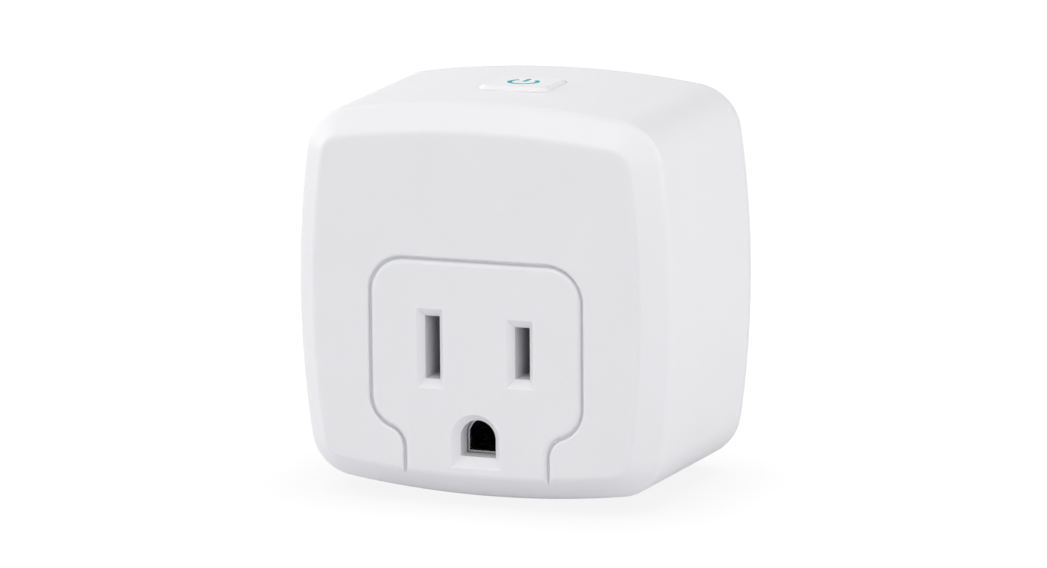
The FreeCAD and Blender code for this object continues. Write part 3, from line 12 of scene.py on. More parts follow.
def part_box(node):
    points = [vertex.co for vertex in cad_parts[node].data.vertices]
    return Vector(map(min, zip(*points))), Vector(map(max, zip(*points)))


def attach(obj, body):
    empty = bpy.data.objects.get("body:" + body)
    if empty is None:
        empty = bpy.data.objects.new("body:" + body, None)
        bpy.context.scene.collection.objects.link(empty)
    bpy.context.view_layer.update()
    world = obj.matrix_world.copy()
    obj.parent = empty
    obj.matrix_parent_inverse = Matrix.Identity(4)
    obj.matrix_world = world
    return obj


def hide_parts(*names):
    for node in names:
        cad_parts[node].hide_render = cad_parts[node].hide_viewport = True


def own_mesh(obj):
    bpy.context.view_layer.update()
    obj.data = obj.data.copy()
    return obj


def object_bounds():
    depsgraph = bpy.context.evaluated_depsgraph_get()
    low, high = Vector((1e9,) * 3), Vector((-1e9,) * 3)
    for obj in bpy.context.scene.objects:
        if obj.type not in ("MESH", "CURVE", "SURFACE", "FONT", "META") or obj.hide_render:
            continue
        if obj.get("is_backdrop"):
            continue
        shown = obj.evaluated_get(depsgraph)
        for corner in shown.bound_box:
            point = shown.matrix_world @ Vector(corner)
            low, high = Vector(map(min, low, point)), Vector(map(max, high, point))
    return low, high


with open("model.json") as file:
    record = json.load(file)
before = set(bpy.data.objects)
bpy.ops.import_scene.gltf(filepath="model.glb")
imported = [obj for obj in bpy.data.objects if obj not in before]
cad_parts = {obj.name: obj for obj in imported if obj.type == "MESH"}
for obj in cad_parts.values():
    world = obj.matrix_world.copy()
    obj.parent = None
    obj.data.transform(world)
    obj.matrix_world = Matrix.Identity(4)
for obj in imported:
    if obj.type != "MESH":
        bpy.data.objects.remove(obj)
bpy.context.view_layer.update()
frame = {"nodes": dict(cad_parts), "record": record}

MM = 0.001
NODES = frame["nodes"]
HOUSING = "housing"

# ---- Camera: a long lens, a little above and to the right of the outlet ----
CAMERA_AZIMUTH = math.radians(21.09)
CAMERA_ELEVATION = math.radians(10.87)
CAMERA_ROLL = math.radians(-0.42)
CAMERA_DISTANCE = 613 * MM
CAMERA_LENS = 160.4
SENSOR_WIDTH = 36.0
FRAMING_RIGHT = 6.52 * MM
FRAMING_UP = 8.88 * MM

# ---- Power symbol on the key ----
SYMBOL_CENTRE_Y = -16.3 * MM
SYMBOL_RADIUS = 1.9 * MM
KEY_TOP = 33.25 * MM
LIT_DEPTH = 2.4 * MM   # how far down the guide its light fades
GLOW_NEAR = 0.1 * MM   # where the key's glow is full, from the ring's middle line
GLOW_FAR = 1.1 * MM    # where it has faded out

# ---- Studio: softboxes (name, place, side length, watts); surroundings (axis, direction, brightness) ----
SOFTBOXES = (
    ("over_front", (0.0, -0.3, 0.9), 0.6, 1.8),
    ("high_front", (0.0, -0.6, 0.75), 0.5, 0.3),
    ("front_right", (0.45, -0.55, 0.6), 0.4, 0.7),
    ("right_back", (0.8, 0.45, 0.2), 0.4, 0.2),
    ("top_back", (-0.1, 0.7, 0.6), 0.5, 0.3),
)
SOFTBOX_TINT = (1.0, 0.996, 0.98)
WORLD_SIDES = (("X", -1.0, 2.0), ("X", 1.0, 1.5))
FLOOR_GLOW = 0.05
FLOOR_HALF = 6.0
LIGHTS_AIM = (0.0, -18 * MM, 6 * MM)   # the middle of the housing


# ---- Node materials ----
class Finish:
    """A node material with short calls for what most finishes share. Lengths are in metres."""

    def __init__(self, name):
        self.material = bpy.data.materials.new(name)
        self.material.use_nodes = True
        self.tree = self.material.node_tree
        self.tree.nodes.clear()
        self.surface = self.node("ShaderNodeBsdfPrincipled")
        self.output = self.node("ShaderNodeOutputMaterial")
        self.join(self.surface.outputs[0], self.output.inputs["Surface"])
        self.place = self.node("ShaderNodeTexCoord").outputs["Object"]

    def node(self, kind, **settings):
        """A new node with its settings."""
        made = self.tree.nodes.new(kind)
        for key, value in settings.items():
            setattr(made, key, value)
        return made

    def join(self, source, target):
        """Links an output, or sets a plain value."""
        if isinstance(source, bpy.types.NodeSocket):
            self.tree.links.new(source, target)
        elif isinstance(source, (tuple, list)) and len(target.default_value) == 4:
            target.default_value = tuple(source)[:3] + (1.0,)
        else:
            target.default_value = source

    def set(self, **values):
        """Sets or links inputs of the surface; underscores stand for spaces."""
        for key, value in values.items():
            self.join(value, self.surface.inputs[key.replace("_", " ")])

    def math(self, operation, a, b=0.0):
        """One arithmetic step."""
        made = self.node("ShaderNodeMath", operation=operation)
        self.join(a, made.inputs[0])
        self.join(b, made.inputs[1])
        return made.outputs[0]

    def axis(self, letter):
        """One coordinate of the object's own frame."""
        split = self.node("ShaderNodeSeparateXYZ")
        self.join(self.place, split.inputs[0])
        return split.outputs[letter]

    def stretched(self, scale):
        """The object's coordinates, scaled along each axis."""
        mapping = self.node("ShaderNodeMapping")
        self.join(self.place, mapping.inputs["Vector"])
        mapping.inputs["Scale"].default_value = scale
        return mapping.outputs[0]

    def noise(self, size, detail=2.0, stretch=None, rough=0.5):
        """Noise from 0 to 1 with features of a given size."""
        made = self.node("ShaderNodeTexNoise")
        self.join(self.stretched(stretch) if stretch else self.place, made.inputs["Vector"])
        made.inputs["Scale"].default_value = 1.0 / size
        made.inputs["Detail"].default_value = detail
        made.inputs["Roughness"].default_value = rough
        return made.outputs["Fac"]

    def spread(self, value, low, high, start=0.0, end=1.0):
        """The value's stretch from start to end, mapped to low to high."""
        made = self.node("ShaderNodeMapRange")
        for name, number in (("From Min", start), ("From Max", end), ("To Min", low), ("To Max", high)):
            self.join(number, made.inputs[name])
        self.join(value, made.inputs["Value"])
        return made.outputs["Result"]

    def blend(self, factor, a, b):
        """Two colours mixed by a factor."""
        made = self.node("ShaderNodeMix", data_type="RGBA")
        self.join(factor, made.inputs["Factor"])
        self.join(a, made.inputs["A"])
        self.join(b, made.inputs["B"])
        return made.outputs["Result"]

    def colour(self):
        """What feeds the surface's base colour so far."""
        return self.surface.inputs["Base Color"].links[0].from_socket

    def edges(self, radius):
        """1 on convex and concave edges, 0 on open surfaces."""
        bevel = self.node("ShaderNodeBevel", samples=4)
        bevel.inputs["Radius"].default_value = radius
        facing = self.node("ShaderNodeVectorMath", operation="DOT_PRODUCT")
        self.join(bevel.outputs[0], facing.inputs[0])
        self.join(self.node("ShaderNodeNewGeometry").outputs["Normal"], facing.inputs[1])
        return self.spread(facing.outputs["Value"], 1.0, 0.0, 0.8, 1.0)

    def relief(self, *layers, edge=0.0):
        """Bump from (height 0 to 1, depth) layers, over edges rounded by a radius."""
        normal = None
        if edge:
            bevel = self.node("ShaderNodeBevel", samples=4)
            bevel.inputs["Radius"].default_value = edge
            normal = bevel.outputs[0]
        for height, depth in layers:
            bump = self.node("ShaderNodeBump")
            bump.inputs["Distance"].default_value = depth
            self.join(height, bump.inputs["Height"])
            if normal is not None:
                self.join(normal, bump.inputs["Normal"])
            normal = bump.outputs[0]
        self.join(normal, self.surface.inputs["Normal"])


def tinted(colour, factor):
    """A colour made lighter or darker."""
    return tuple(min(1.0, c * factor) for c in colour)


def moulded(name, colour, rough=0.42, grain=0.10 * MM, depth=0.0025 * MM, edge=0.08 * MM, mottle=0.03,
            edge_highlight_gain=1.03):
    """Moulded plastic: spark-eroded grain, faint flow mottling, and edges made a little glossier and
    lightened in colour by a painted highlight.
    """
    f = Finish(name)
    flow = f.noise(9 * MM, 3.0)
    speck = f.noise(0.6 * MM, 2.0)
    tint = f.blend(f.spread(flow, 0.0, 1.0, 0.3, 0.7), tinted(colour, 1.0 - mottle),
                   tinted(colour, 1.0 + mottle))
    # painted highlight: the colour along convex and concave edges is lightened by the gain factor; the same
    # edge mask also makes them a little glossier
    edge_highlight = f.edges(0.25 * MM)
    f.set(Base_Color=f.blend(edge_highlight, tint, tinted(colour, edge_highlight_gain)))
    sheen = f.spread(speck, rough - 0.05, rough + 0.05, 0.3, 0.7)
    f.set(Roughness=f.math("SUBTRACT", sheen, f.math("MULTIPLY", edge_highlight, 0.10)), IOR=1.5)
    f.relief((f.noise(grain, 2.0), depth), (f.noise(2.4 * MM, 2.0), 0.006 * MM), edge=edge)
    return f


def brushed(name, colour, rough=0.28, along=(1, 0.05, 1), depth=0.0015 * MM, edge=0.06 * MM):
    """Metal with fine drawn lines, slight tarnish and a painted highlight lightening its edges."""
    f = Finish(name)
    lines = f.noise(0.08 * MM, 3.0, stretch=along)
    tarnish = f.noise(3.0 * MM, 4.0, rough=0.6)
    # painted highlight: the colour is lightened along convex and concave edges
    edge_highlight = f.edges(0.15 * MM)
    base = f.blend(f.spread(tarnish, 0.0, 1.0, 0.35, 0.75), tinted(colour, 1.05), tinted(colour, 0.82))
    f.set(Base_Color=f.blend(f.math("MULTIPLY", edge_highlight, 0.5), base, tinted(colour, 1.15)), Metallic=1.0)
    f.set(Roughness=f.math("ADD", f.spread(lines, rough - 0.08, rough + 0.08, 0.3, 0.7),
                           f.spread(tarnish, 0.0, 0.10, 0.4, 0.8)))
    f.relief((lines, depth), edge=edge)
    return f


def translucent(f, weight):
    """Lets light soak a little way into a white plastic."""
    f.set(Subsurface_Weight=weight, Subsurface_Radius=(1.0, 0.9, 0.85), Subsurface_Scale=0.5 * MM)
    return f


def shell_white():
    """Satin white housing plastic, a little translucent."""
    # the edges' colour is lightened by a tenth: a painted highlight
    f = moulded("shell_white", (0.84, 0.84, 0.865), rough=0.36, mottle=0.006, edge=0.08 * MM,
                depth=0.0012 * MM, edge_highlight_gain=1.10)
    return translucent(f, 0.12)


def cover_white():
    """The rear cover's plastic, a shade duller and with a coarser grain."""
    f = moulded("cover_white", (0.82, 0.82, 0.84), rough=0.46, mottle=0.008, grain=0.16 * MM,
                depth=0.004 * MM)
    return translucent(f, 0.10)


def glow_distance(f):
    """Distance from the power symbol's ring on the key's top, in metres."""
    x, y = f.axis("X"), f.math("SUBTRACT", f.axis("Y"), SYMBOL_CENTRE_Y)
    radius = f.math("SQRT", f.math("ADD", f.math("MULTIPLY", x, x), f.math("MULTIPLY", y, y)))
    return f.math("ABSOLUTE", f.math("SUBTRACT", radius, SYMBOL_RADIUS))


def button_white():
    """The key's white plastic, with the lit symbol's glow spreading a little way into it."""
    # the edges' colour is lightened by a tenth: a painted highlight
    f = moulded("button_white", (0.87, 0.87, 0.885), rough=0.33, mottle=0.006, edge=0.08 * MM,
                depth=0.0012 * MM, edge_highlight_gain=1.10)
    near = f.spread(glow_distance(f), 1.0, 0.0, GLOW_NEAR, GLOW_FAR)
    top = f.spread(f.axis("Z"), 0.0, 1.0, KEY_TOP - 0.9 * MM, KEY_TOP - 0.1 * MM)
    halo = f.math("MULTIPLY", f.math("POWER", near, 2.2), top)
    f.set(Emission_Color=(0.25, 0.95, 1.0), Emission_Strength=f.math("MULTIPLY", halo, 0.16))
    return translucent(f, 0.12)


def symbol_cyan():
    """The translucent guide: milky plastic that carries the lamp's cyan light to the symbol."""
    f = moulded("symbol_cyan", (0.002, 0.20, 0.24), rough=0.45, mottle=0.05, edge=0.03 * MM)
    height = f.spread(f.axis("Z"), 0.15, 1.0, KEY_TOP - LIT_DEPTH, KEY_TOP)
    uneven = f.spread(f.noise(0.9 * MM, 2.0), 0.75, 1.2, 0.3, 0.7)
    lit = f.math("MULTIPLY", f.math("MULTIPLY", height, uneven), 0.26)
    f.set(Emission_Color=(0.0, 0.50, 0.58), Emission_Strength=lit, Transmission_Weight=0.25)
    f.set(Specular_IOR_Level=0.15)
    return f


def board(name, mask, copper):
    """Solder mask over woven glass, with the weave faintly showing."""
    f = Finish(name)
    weave_size = 5.2 * MM
    weave_x = f.node("ShaderNodeTexWave", wave_type="BANDS", bands_direction="X")
    weave_z = f.node("ShaderNodeTexWave", wave_type="BANDS", bands_direction="Z")
    for wave in (weave_x, weave_z):
        f.join(f.place, wave.inputs["Vector"])
        wave.inputs["Scale"].default_value = 1.0 / weave_size
        wave.inputs["Distortion"].default_value = 0.6
    weave = f.math("MULTIPLY", weave_x.outputs["Fac"], weave_z.outputs["Fac"])
    cloud = f.noise(5 * MM, 3.0)
    base = f.blend(f.spread(cloud, 0.0, 1.0, 0.3, 0.7), tinted(mask, 0.85), tinted(mask, 1.2))
    f.set(Base_Color=f.blend(f.math("MULTIPLY", weave, 0.25), base, copper), IOR=1.5)
    f.set(Roughness=f.spread(f.noise(0.5 * MM, 2.0), 0.24, 0.40, 0.3, 0.7))
    f.set(Coat_Weight=0.4, Coat_Roughness=0.15)
    f.relief((weave, 0.004 * MM), (cloud, 0.01 * MM), edge=0.05 * MM)
    return f


def lamp_lens():
    """Clear silicone in the lamp, faintly cyan."""
    f = Finish("lamp_lens")
    f.set(Base_Color=f.blend(f.noise(0.4 * MM), (0.75, 0.98, 0.98), (0.6, 0.9, 0.95)))
    f.set(Roughness=f.spread(f.noise(0.3 * MM), 0.05, 0.15), Transmission_Weight=0.85)
    f.set(Emission_Color=(0.3, 0.95, 1.0), Emission_Strength=0.6)
    f.relief((f.noise(0.2 * MM), 0.002 * MM))
    return f


def sleeve_dark():
    """A capacitor's shrunk sleeve with a pale polarity stripe down one side."""
    f = moulded("sleeve_dark", (0.012, 0.022, 0.06), rough=0.22, mottle=0.2, grain=0.3 * MM)
    ragged = f.spread(f.noise(0.05 * MM), 0.0, 0.01)
    low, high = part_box("capacitor_sleeves")
    stripe_share = 0.16
    dash_pitch = 2.4 * MM
    gap_share = 0.45
    stripe_start = high.z - stripe_share * (high.z - low.z)
    band = f.math("GREATER_THAN", f.math("ADD", f.axis("Z"), ragged), stripe_start)
    along = f.math("FRACT", f.math("MULTIPLY", f.axis("Y"), 1 / dash_pitch))
    dash = f.math("GREATER_THAN", along, gap_share)
    pale = f.blend(dash, (0.55, 0.60, 0.66), (0.40, 0.46, 0.54))
    f.set(Base_Color=f.blend(band, f.colour(), pale))
    return f


def ferrite():
    """Sintered black ferrite."""
    return moulded("ferrite", (0.035, 0.034, 0.036), rough=0.62, grain=0.15 * MM, depth=0.012 * MM,
                   mottle=0.25)


def enamelled(name, colour):
    """Enamelled copper wire."""
    f = Finish(name)
    shade = f.noise(0.8 * MM, 3.0)
    f.set(Base_Color=f.blend(f.spread(shade, 0.0, 1.0, 0.3, 0.7), tinted(colour, 0.8), tinted(colour, 1.15)))
    f.set(Metallic=0.85, Roughness=f.spread(shade, 0.22, 0.36, 0.3, 0.7))
    f.set(Coat_Weight=0.6, Coat_Roughness=0.12)
    f.relief((f.noise(0.1 * MM, 1.0), 0.001 * MM))
    return f


def banded_resistor():
    """A fusible resistor's matte coat with four colour bands round it."""
    f = moulded("resistor_green", (0.16, 0.30, 0.27), rough=0.6, grain=0.2 * MM, depth=0.006 * MM,
                mottle=0.12)
    low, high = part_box("fuse_resistor")
    colour = f.colour()
    red, black, gold = (0.55, 0.03, 0.02), (0.02, 0.02, 0.02), (0.5, 0.33, 0.06)
    bands = ((0.20, red), (0.38, black), (0.56, black), (0.80, gold))
    share = f.spread(f.axis("Y"), 0.0, 1.0, low.y, high.y)
    for middle, band_colour in bands:
        offset = f.math("ABSOLUTE", f.math("SUBTRACT", share, middle))
        colour = f.blend(f.math("LESS_THAN", offset, 0.045), colour, band_colour)
    f.set(Base_Color=colour)
    return f


def dipped(name, colour):
    """A thick dipped coat of epoxy."""
    f = Finish(name)
    run = f.noise(2.2 * MM, 2.0)
    f.set(Base_Color=f.blend(f.spread(run, 0.0, 1.0, 0.3, 0.7), tinted(colour, 0.85), tinted(colour, 1.2)))
    f.set(Roughness=f.spread(f.noise(0.5 * MM), 0.12, 0.26), Coat_Weight=0.5, Coat_Roughness=0.05)
    f.relief((run, 0.06 * MM), (f.noise(0.25 * MM), 0.004 * MM), edge=0.1 * MM)
    return f


def solder():
    """Bright tin solder with a frosted patch here and there."""
    f = Finish("solder")
    frost = f.noise(0.35 * MM, 3.0)
    f.set(Base_Color=f.blend(frost, (0.72, 0.73, 0.75), (0.56, 0.57, 0.59)), Metallic=1.0)
    f.set(Roughness=f.spread(frost, 0.12, 0.42, 0.35, 0.7))
    f.relief((frost, 0.012 * MM))
    return f


def chip_black():
    """Black moulding compound."""
    return moulded("chip_black", (0.018, 0.018, 0.02), rough=0.55, grain=0.06 * MM, depth=0.006 * MM,
                   mottle=0.2)


def carrier_grey():
    """The contact carrier's cool grey plastic, with painted shade darkening it the deeper it lies behind the
    outlet's holes.
    """
    f = moulded("carrier_grey", (0.80, 0.80, 0.82), rough=0.5, depth=0.004 * MM)
    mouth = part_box("contact_carrier")[0].y
    # painted shade: the colour darkens from the mouth inward, where little light reaches
    depth = f.spread(f.axis("Y"), 0.0, 1.0, mouth + 1.0 * MM, mouth + 6.0 * MM)
    colour = f.colour()
    f.set(Base_Color=f.blend(depth, colour, (0.30, 0.30, 0.32)))
    return f


def contact_plated():
    """Tin-plated bronze, bright and faintly scratched at the mouths, with painted shade darkening it deeper
    inside.
    """
    f = brushed("contact_plated", (0.80, 0.80, 0.80), rough=0.24)
    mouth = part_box("ground_contact")[0].y
    # painted shade: the colour darkens just behind the mouth
    depth = f.spread(f.axis("Y"), 0.0, 1.0, mouth + 0.12 * MM, mouth + 1.1 * MM)
    colour = f.colour()
    f.set(Base_Color=f.blend(depth, colour, (0.34, 0.33, 0.31)))
    return f


def paper(name, colour):
    """Stiff fibrous insulating paper."""
    f = Finish(name)
    fibre = f.noise(0.12 * MM, 4.0, stretch=(0.2, 1, 1), rough=0.7)
    cloud = f.noise(2.5 * MM, 3.0)
    base = f.blend(f.spread(fibre, 0.0, 1.0, 0.35, 0.65), tinted(colour, 0.82), tinted(colour, 1.12))
    f.set(Base_Color=f.blend(f.spread(cloud, 0.0, 0.4), base, tinted(colour, 0.75)), Roughness=0.88)
    f.relief((fibre, 0.012 * MM), edge=0.04 * MM)
    return f


def print_white():
    """White silk-screen ink, slightly uneven."""
    f = Finish("print_white")
    f.set(Base_Color=f.blend(f.noise(0.15 * MM, 3.0), (0.62, 0.63, 0.62), (0.78, 0.79, 0.78)))
    f.set(Roughness=f.spread(f.noise(0.1 * MM), 0.5, 0.7))
    f.relief((f.noise(0.08 * MM, 2.0), 0.004 * MM))
    return f


def relay_blue():
    """The relay cover's glossy blue plastic, a little see-through."""
    f = moulded("relay_blue", (0.02, 0.10, 0.34), rough=0.24, mottle=0.08)
    f.set(Subsurface_Weight=0.1, Subsurface_Radius=(0.3, 0.5, 1.0), Subsurface_Scale=0.6 * MM)
    return f


FINISHES = {
    "shell_white": shell_white,
    "cover_white": cover_white,
    "button_white": button_white,
    "symbol_cyan": symbol_cyan,
    "carrier_ivory": carrier_grey,
    "contact_bronze": contact_plated,
    "blade_nickel": lambda: brushed("blade_nickel", (0.72, 0.70, 0.66), rough=0.20, along=(1, 0.04, 1)),
    "switch_black": lambda: moulded("switch_black", (0.025, 0.025, 0.028), rough=0.45),
    "pressed_steel": lambda: brushed("pressed_steel", (0.62, 0.62, 0.61), rough=0.30, along=(0.05, 1, 1)),
    "plunger_cream": lambda: moulded("plunger_cream", (0.72, 0.70, 0.62), rough=0.4),
    "dome_steel": lambda: brushed("dome_steel", (0.70, 0.69, 0.67), rough=0.18, along=(1, 1, 1)),
    "tin": lambda: brushed("tin", (0.68, 0.69, 0.70), rough=0.26, along=(1, 0.1, 1)),
    "lamp_white": lambda: moulded("lamp_white", (0.82, 0.82, 0.80), rough=0.4),
    "lamp_lens": lamp_lens,
    "board_green": lambda: board("board_green", (0.010, 0.105, 0.045), (0.05, 0.22, 0.08)),
    "board_blue": lambda: board("board_blue", (0.006, 0.03, 0.14), (0.03, 0.09, 0.26)),
    "copper_trace": lambda: brushed("copper_trace", (0.75, 0.45, 0.25), rough=0.3),
    "can_aluminium": lambda: brushed("can_aluminium", (0.70, 0.71, 0.72), rough=0.32, along=(1, 0.3, 1)),
    "sleeve_dark": sleeve_dark,
    "ferrite": ferrite,
    "copper_wire": lambda: enamelled("copper_wire", (0.62, 0.22, 0.07)),
    "resistor_green": banded_resistor,
    "varistor_blue": lambda: dipped("varistor_blue", (0.015, 0.07, 0.30)),
    "solder": solder,
    "chip_black": chip_black,
    "ceramic_tan": lambda: moulded("ceramic_tan", (0.40, 0.28, 0.17), rough=0.45, mottle=0.12),
    "relay_blue": relay_blue,
    "relay_base_black": lambda: moulded("relay_base_black", (0.03, 0.03, 0.033), rough=0.5),
    "relay_iron": lambda: brushed("relay_iron", (0.60, 0.60, 0.58), rough=0.34, along=(1, 1, 0.08)),
    "bobbin_white": lambda: moulded("bobbin_white", (0.74, 0.72, 0.65), rough=0.45),
    "spring_copper": lambda: brushed("spring_copper", (0.70, 0.40, 0.22), rough=0.22, along=(1, 0.06, 1)),
    "contact_silver": lambda: brushed("contact_silver", (0.86, 0.85, 0.83), rough=0.16, along=(1, 1, 1)),
    "zinc_screw": lambda: brushed("zinc_screw", (0.66, 0.67, 0.70), rough=0.28, along=(1, 1, 1)),
    "sheet_paper": lambda: paper("sheet_paper", (0.52, 0.47, 0.36)),
}


def paint_frame():
    """Gives every CAD node the finish of its material slot, and returns the finishes by slot."""
    finishes = {slot: make().material for slot, make in FINISHES.items()}
    slots = {part["node"]: part["material_slot"] for part in frame["record"]["subparts"]}
    for name, node in NODES.items():
        for place in node.material_slots:
            place.material = finishes[slots[name]]
    return finishes


# ---- Pieces modelled in Blender ----
class Shape:
    """A mesh gathered from simple closed bodies."""

    def __init__(self):
        self.vertices = []
        self.faces = []

    def add(self, vertices, faces):
        """Adds one body."""
        start = len(self.vertices)
        self.vertices += vertices
        self.faces += [[start + i for i in face] for face in faces]

    def tube(self, rings):
        """Adds a body through rings of equal point counts, closed at both ends."""
        count = len(rings[0])
        faces = [list(range(count)), [(len(rings) - 1) * count + i for i in range(count)]]
        for row in range(len(rings) - 1):
            for i in range(count):
                a, b = row * count + i, row * count + (i + 1) % count
                faces.append([a, b, b + count, a + count])
        self.add([point for ring in rings for point in ring], faces)

    def lathe(self, centre, profile, around=32, flatten=(1.0, 1.0)):
        """Adds a profile of (radius, y) turned round the Y axis, closed from its last to its first point."""
        vertices, faces = [], []
        for radius, y in profile:
            for i in range(around):
                angle = 2 * math.pi * i / around
                x = centre[0] + radius * math.cos(angle) * flatten[0]
                vertices.append((x, y, centre[1] + radius * math.sin(angle) * flatten[1]))
        for row in range(len(profile)):
            following = (row + 1) % len(profile)
            for i in range(around):
                k = (i + 1) % around
                near, far = row * around, following * around
                faces.append([near + i, near + k, far + k, far + i])
        self.add(vertices, faces)

    def strip(self, a, b, half, y0, y1, corners=6):
        """Adds a flat strip with round ends between two (x, z) points."""
        turn = math.atan2(b[1] - a[1], b[0] - a[0])
        outline = []
        for end, start in ((b, turn - math.pi / 2), (a, turn + math.pi / 2)):
            for i in range(corners + 1):
                angle = start + math.pi * i / corners
                outline.append((end[0] + half * math.cos(angle), end[1] + half * math.sin(angle)))
        self.tube([[(x, y, z) for x, z in outline] for y in (y0, y1)])

    def piece(self, name, material, node=None):
        """Makes the Blender object, riding on the housing, and in place of a CAD node if one is named."""
        mesh = bpy.data.meshes.new(name)
        mesh.from_pydata(self.vertices, [], self.faces)
        work = bmesh.new()
        work.from_mesh(mesh)
        bmesh.ops.recalc_face_normals(work, faces=work.faces)
        work.to_mesh(mesh)
        work.free()
        mesh.shade_smooth()
        mesh.set_sharp_from_angle(angle=math.radians(40))
        mesh.materials.append(material)
        made = bpy.data.objects.new(name, mesh)
        bpy.context.scene.collection.objects.link(made)
        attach(made, HOUSING)
        if node:
            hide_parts(node)
        return made


def middle(node):
    """A CAD node's centre."""
    low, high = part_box(node)
    return (low + high) / 2


def wound_wire(name, node, inner_radius, wire):
    """A coil of round wire in place of a plain CAD winding: a sleeve of inner layers under one helix."""
    low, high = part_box(node)
    centre = middle(node)
    outer = (high.x - low.x) / 2
    radius = outer - wire / 2
    start, end = low.y + wire / 2, high.y - wire / 2
    pitch = wire * 1.02
    turns = int((end - start) / pitch)
    around, section = 32, 8
    rings = []
    for step in range(turns * around + 1):
        angle = 2 * math.pi * step / around
        y = start + (end - start) * step / (turns * around)
        ring = []
        for i in range(section):
            lean = 2 * math.pi * i / section
            reach = radius + wire / 2 * math.cos(lean)
            ring.append((centre.x + reach * math.cos(angle), y + wire / 2 * math.sin(lean),
                         centre.z + reach * math.sin(angle)))
        rings.append(ring)
    coil = Shape()
    coil.tube(rings)
    inset = 0.02 * MM
    coil.lathe((centre.x, centre.z), [(inner_radius, low.y + inset), (radius, low.y + inset),
                                      (radius, high.y - inset), (inner_radius, high.y - inset)])
    coil.piece(name, finishes["copper_wire"], node)


def snap_dome():
    """The switch's thin snap dome, shown at rest (the real one flattens as the button goes in)."""
    low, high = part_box("switch_dome")
    centre = middle("switch_dome")
    radius, height, thick = (high.x - low.x) / 2, high.z - low.z, 0.1 * MM
    inner_edge = math.sqrt(1.0 - thick / height)
    around, steps = 48, 10
    pole = 0.01   # the share of the radius at which the cap's middle is closed
    profile = []
    for i in range(steps + 1):
        share = pole + (inner_edge - pole) * i / steps
        profile.append((radius * share, low.z + height * (1.0 - share ** 2) - thick))
    for i in range(steps + 1):
        share = 1.0 + (pole - 1.0) * i / steps
        profile.append((radius * share, low.z + height * (1.0 - share ** 2)))
    rings = []
    for reach, z in profile:
        angles = [2 * math.pi * i / around for i in range(around)]
        rings.append([(centre.x + reach * math.cos(a), centre.y + reach * math.sin(a), z) for a in angles])
    shape = Shape()
    shape.tube(rings)
    dome = shape.piece("snap_dome", finishes["dome_steel"], "switch_dome")
    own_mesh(dome)


def solder_fillets():
    """Solder drawn up round the flat pins, straps and blade tails behind the main board."""
    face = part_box("main_board")[1].y
    # each joint's place, and its half sizes along X and Z
    joints = [(middle(name), 1.5 * MM, 2.7 * MM) for name in ("line_blade", "neutral_blade")]
    joints.append((middle("ground_pin"), 2.2 * MM, 2.2 * MM))
    low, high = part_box("header_pins")
    pins = 5
    pin_half = 0.32 * MM
    for i in range(pins):
        share = (i + 0.5) / pins
        pin = Vector((low.x + (high.x - low.x) * share, 0, low.z + pin_half))
        joints.append((pin, 0.85 * MM, 0.85 * MM))
    terminal = middle("relay_terminal")
    joints.append((terminal, 0.8 * MM, 1.4 * MM))
    joints.append((Vector((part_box("relay_yoke")[1].x - 0.6 * MM, 0, terminal.z)), 0.8 * MM, 1.4 * MM))
    tip = 0.0002   # the tip's radius, as a share of the fillet's own
    rise = 0.9 * MM
    steps = 6
    shape = Shape()
    for place, half_x, half_z in joints:
        profile = [(tip, face)]
        for i in range(steps + 1):
            share = i / steps
            profile.append((1.0 - 0.55 * share ** 0.6, face + rise * share ** 1.8))
        profile.append((tip, face + rise + 0.05 * MM))
        shape.lathe((place.x, place.z), profile, 28, (half_x, half_z))
    shape.piece("solder_fillets", finishes["solder"])


def elbow(a, b, across_first=True, cut=0.9 * MM):
    """A route of (x, z) points between two places with one cut corner."""
    corner = (b[0], a[1]) if across_first else (a[0], b[1])
    points = [a]
    for end in (a, b):
        length = math.dist(corner, end)
        if length > cut:
            share = cut / length
            points.append((corner[0] + (end[0] - corner[0]) * share,
                           corner[1] + (end[1] - corner[1]) * share))
    return points + [b]


def at(node, dx=0.0, dz=0.0):
    """The (x, z) place of a CAD node's centre, moved by millimetres."""
    centre = middle(node)
    return (centre.x + dx * MM, centre.z + dz * MM)


def capacitor_places():
    """The (x, z) centres of the two bulk capacitors, and their radius."""
    low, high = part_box("bulk_capacitors")
    radius, z = (high.z - low.z) / 2, (low.z + high.z) / 2
    return (low.x + radius, z), (high.x - radius, z), radius


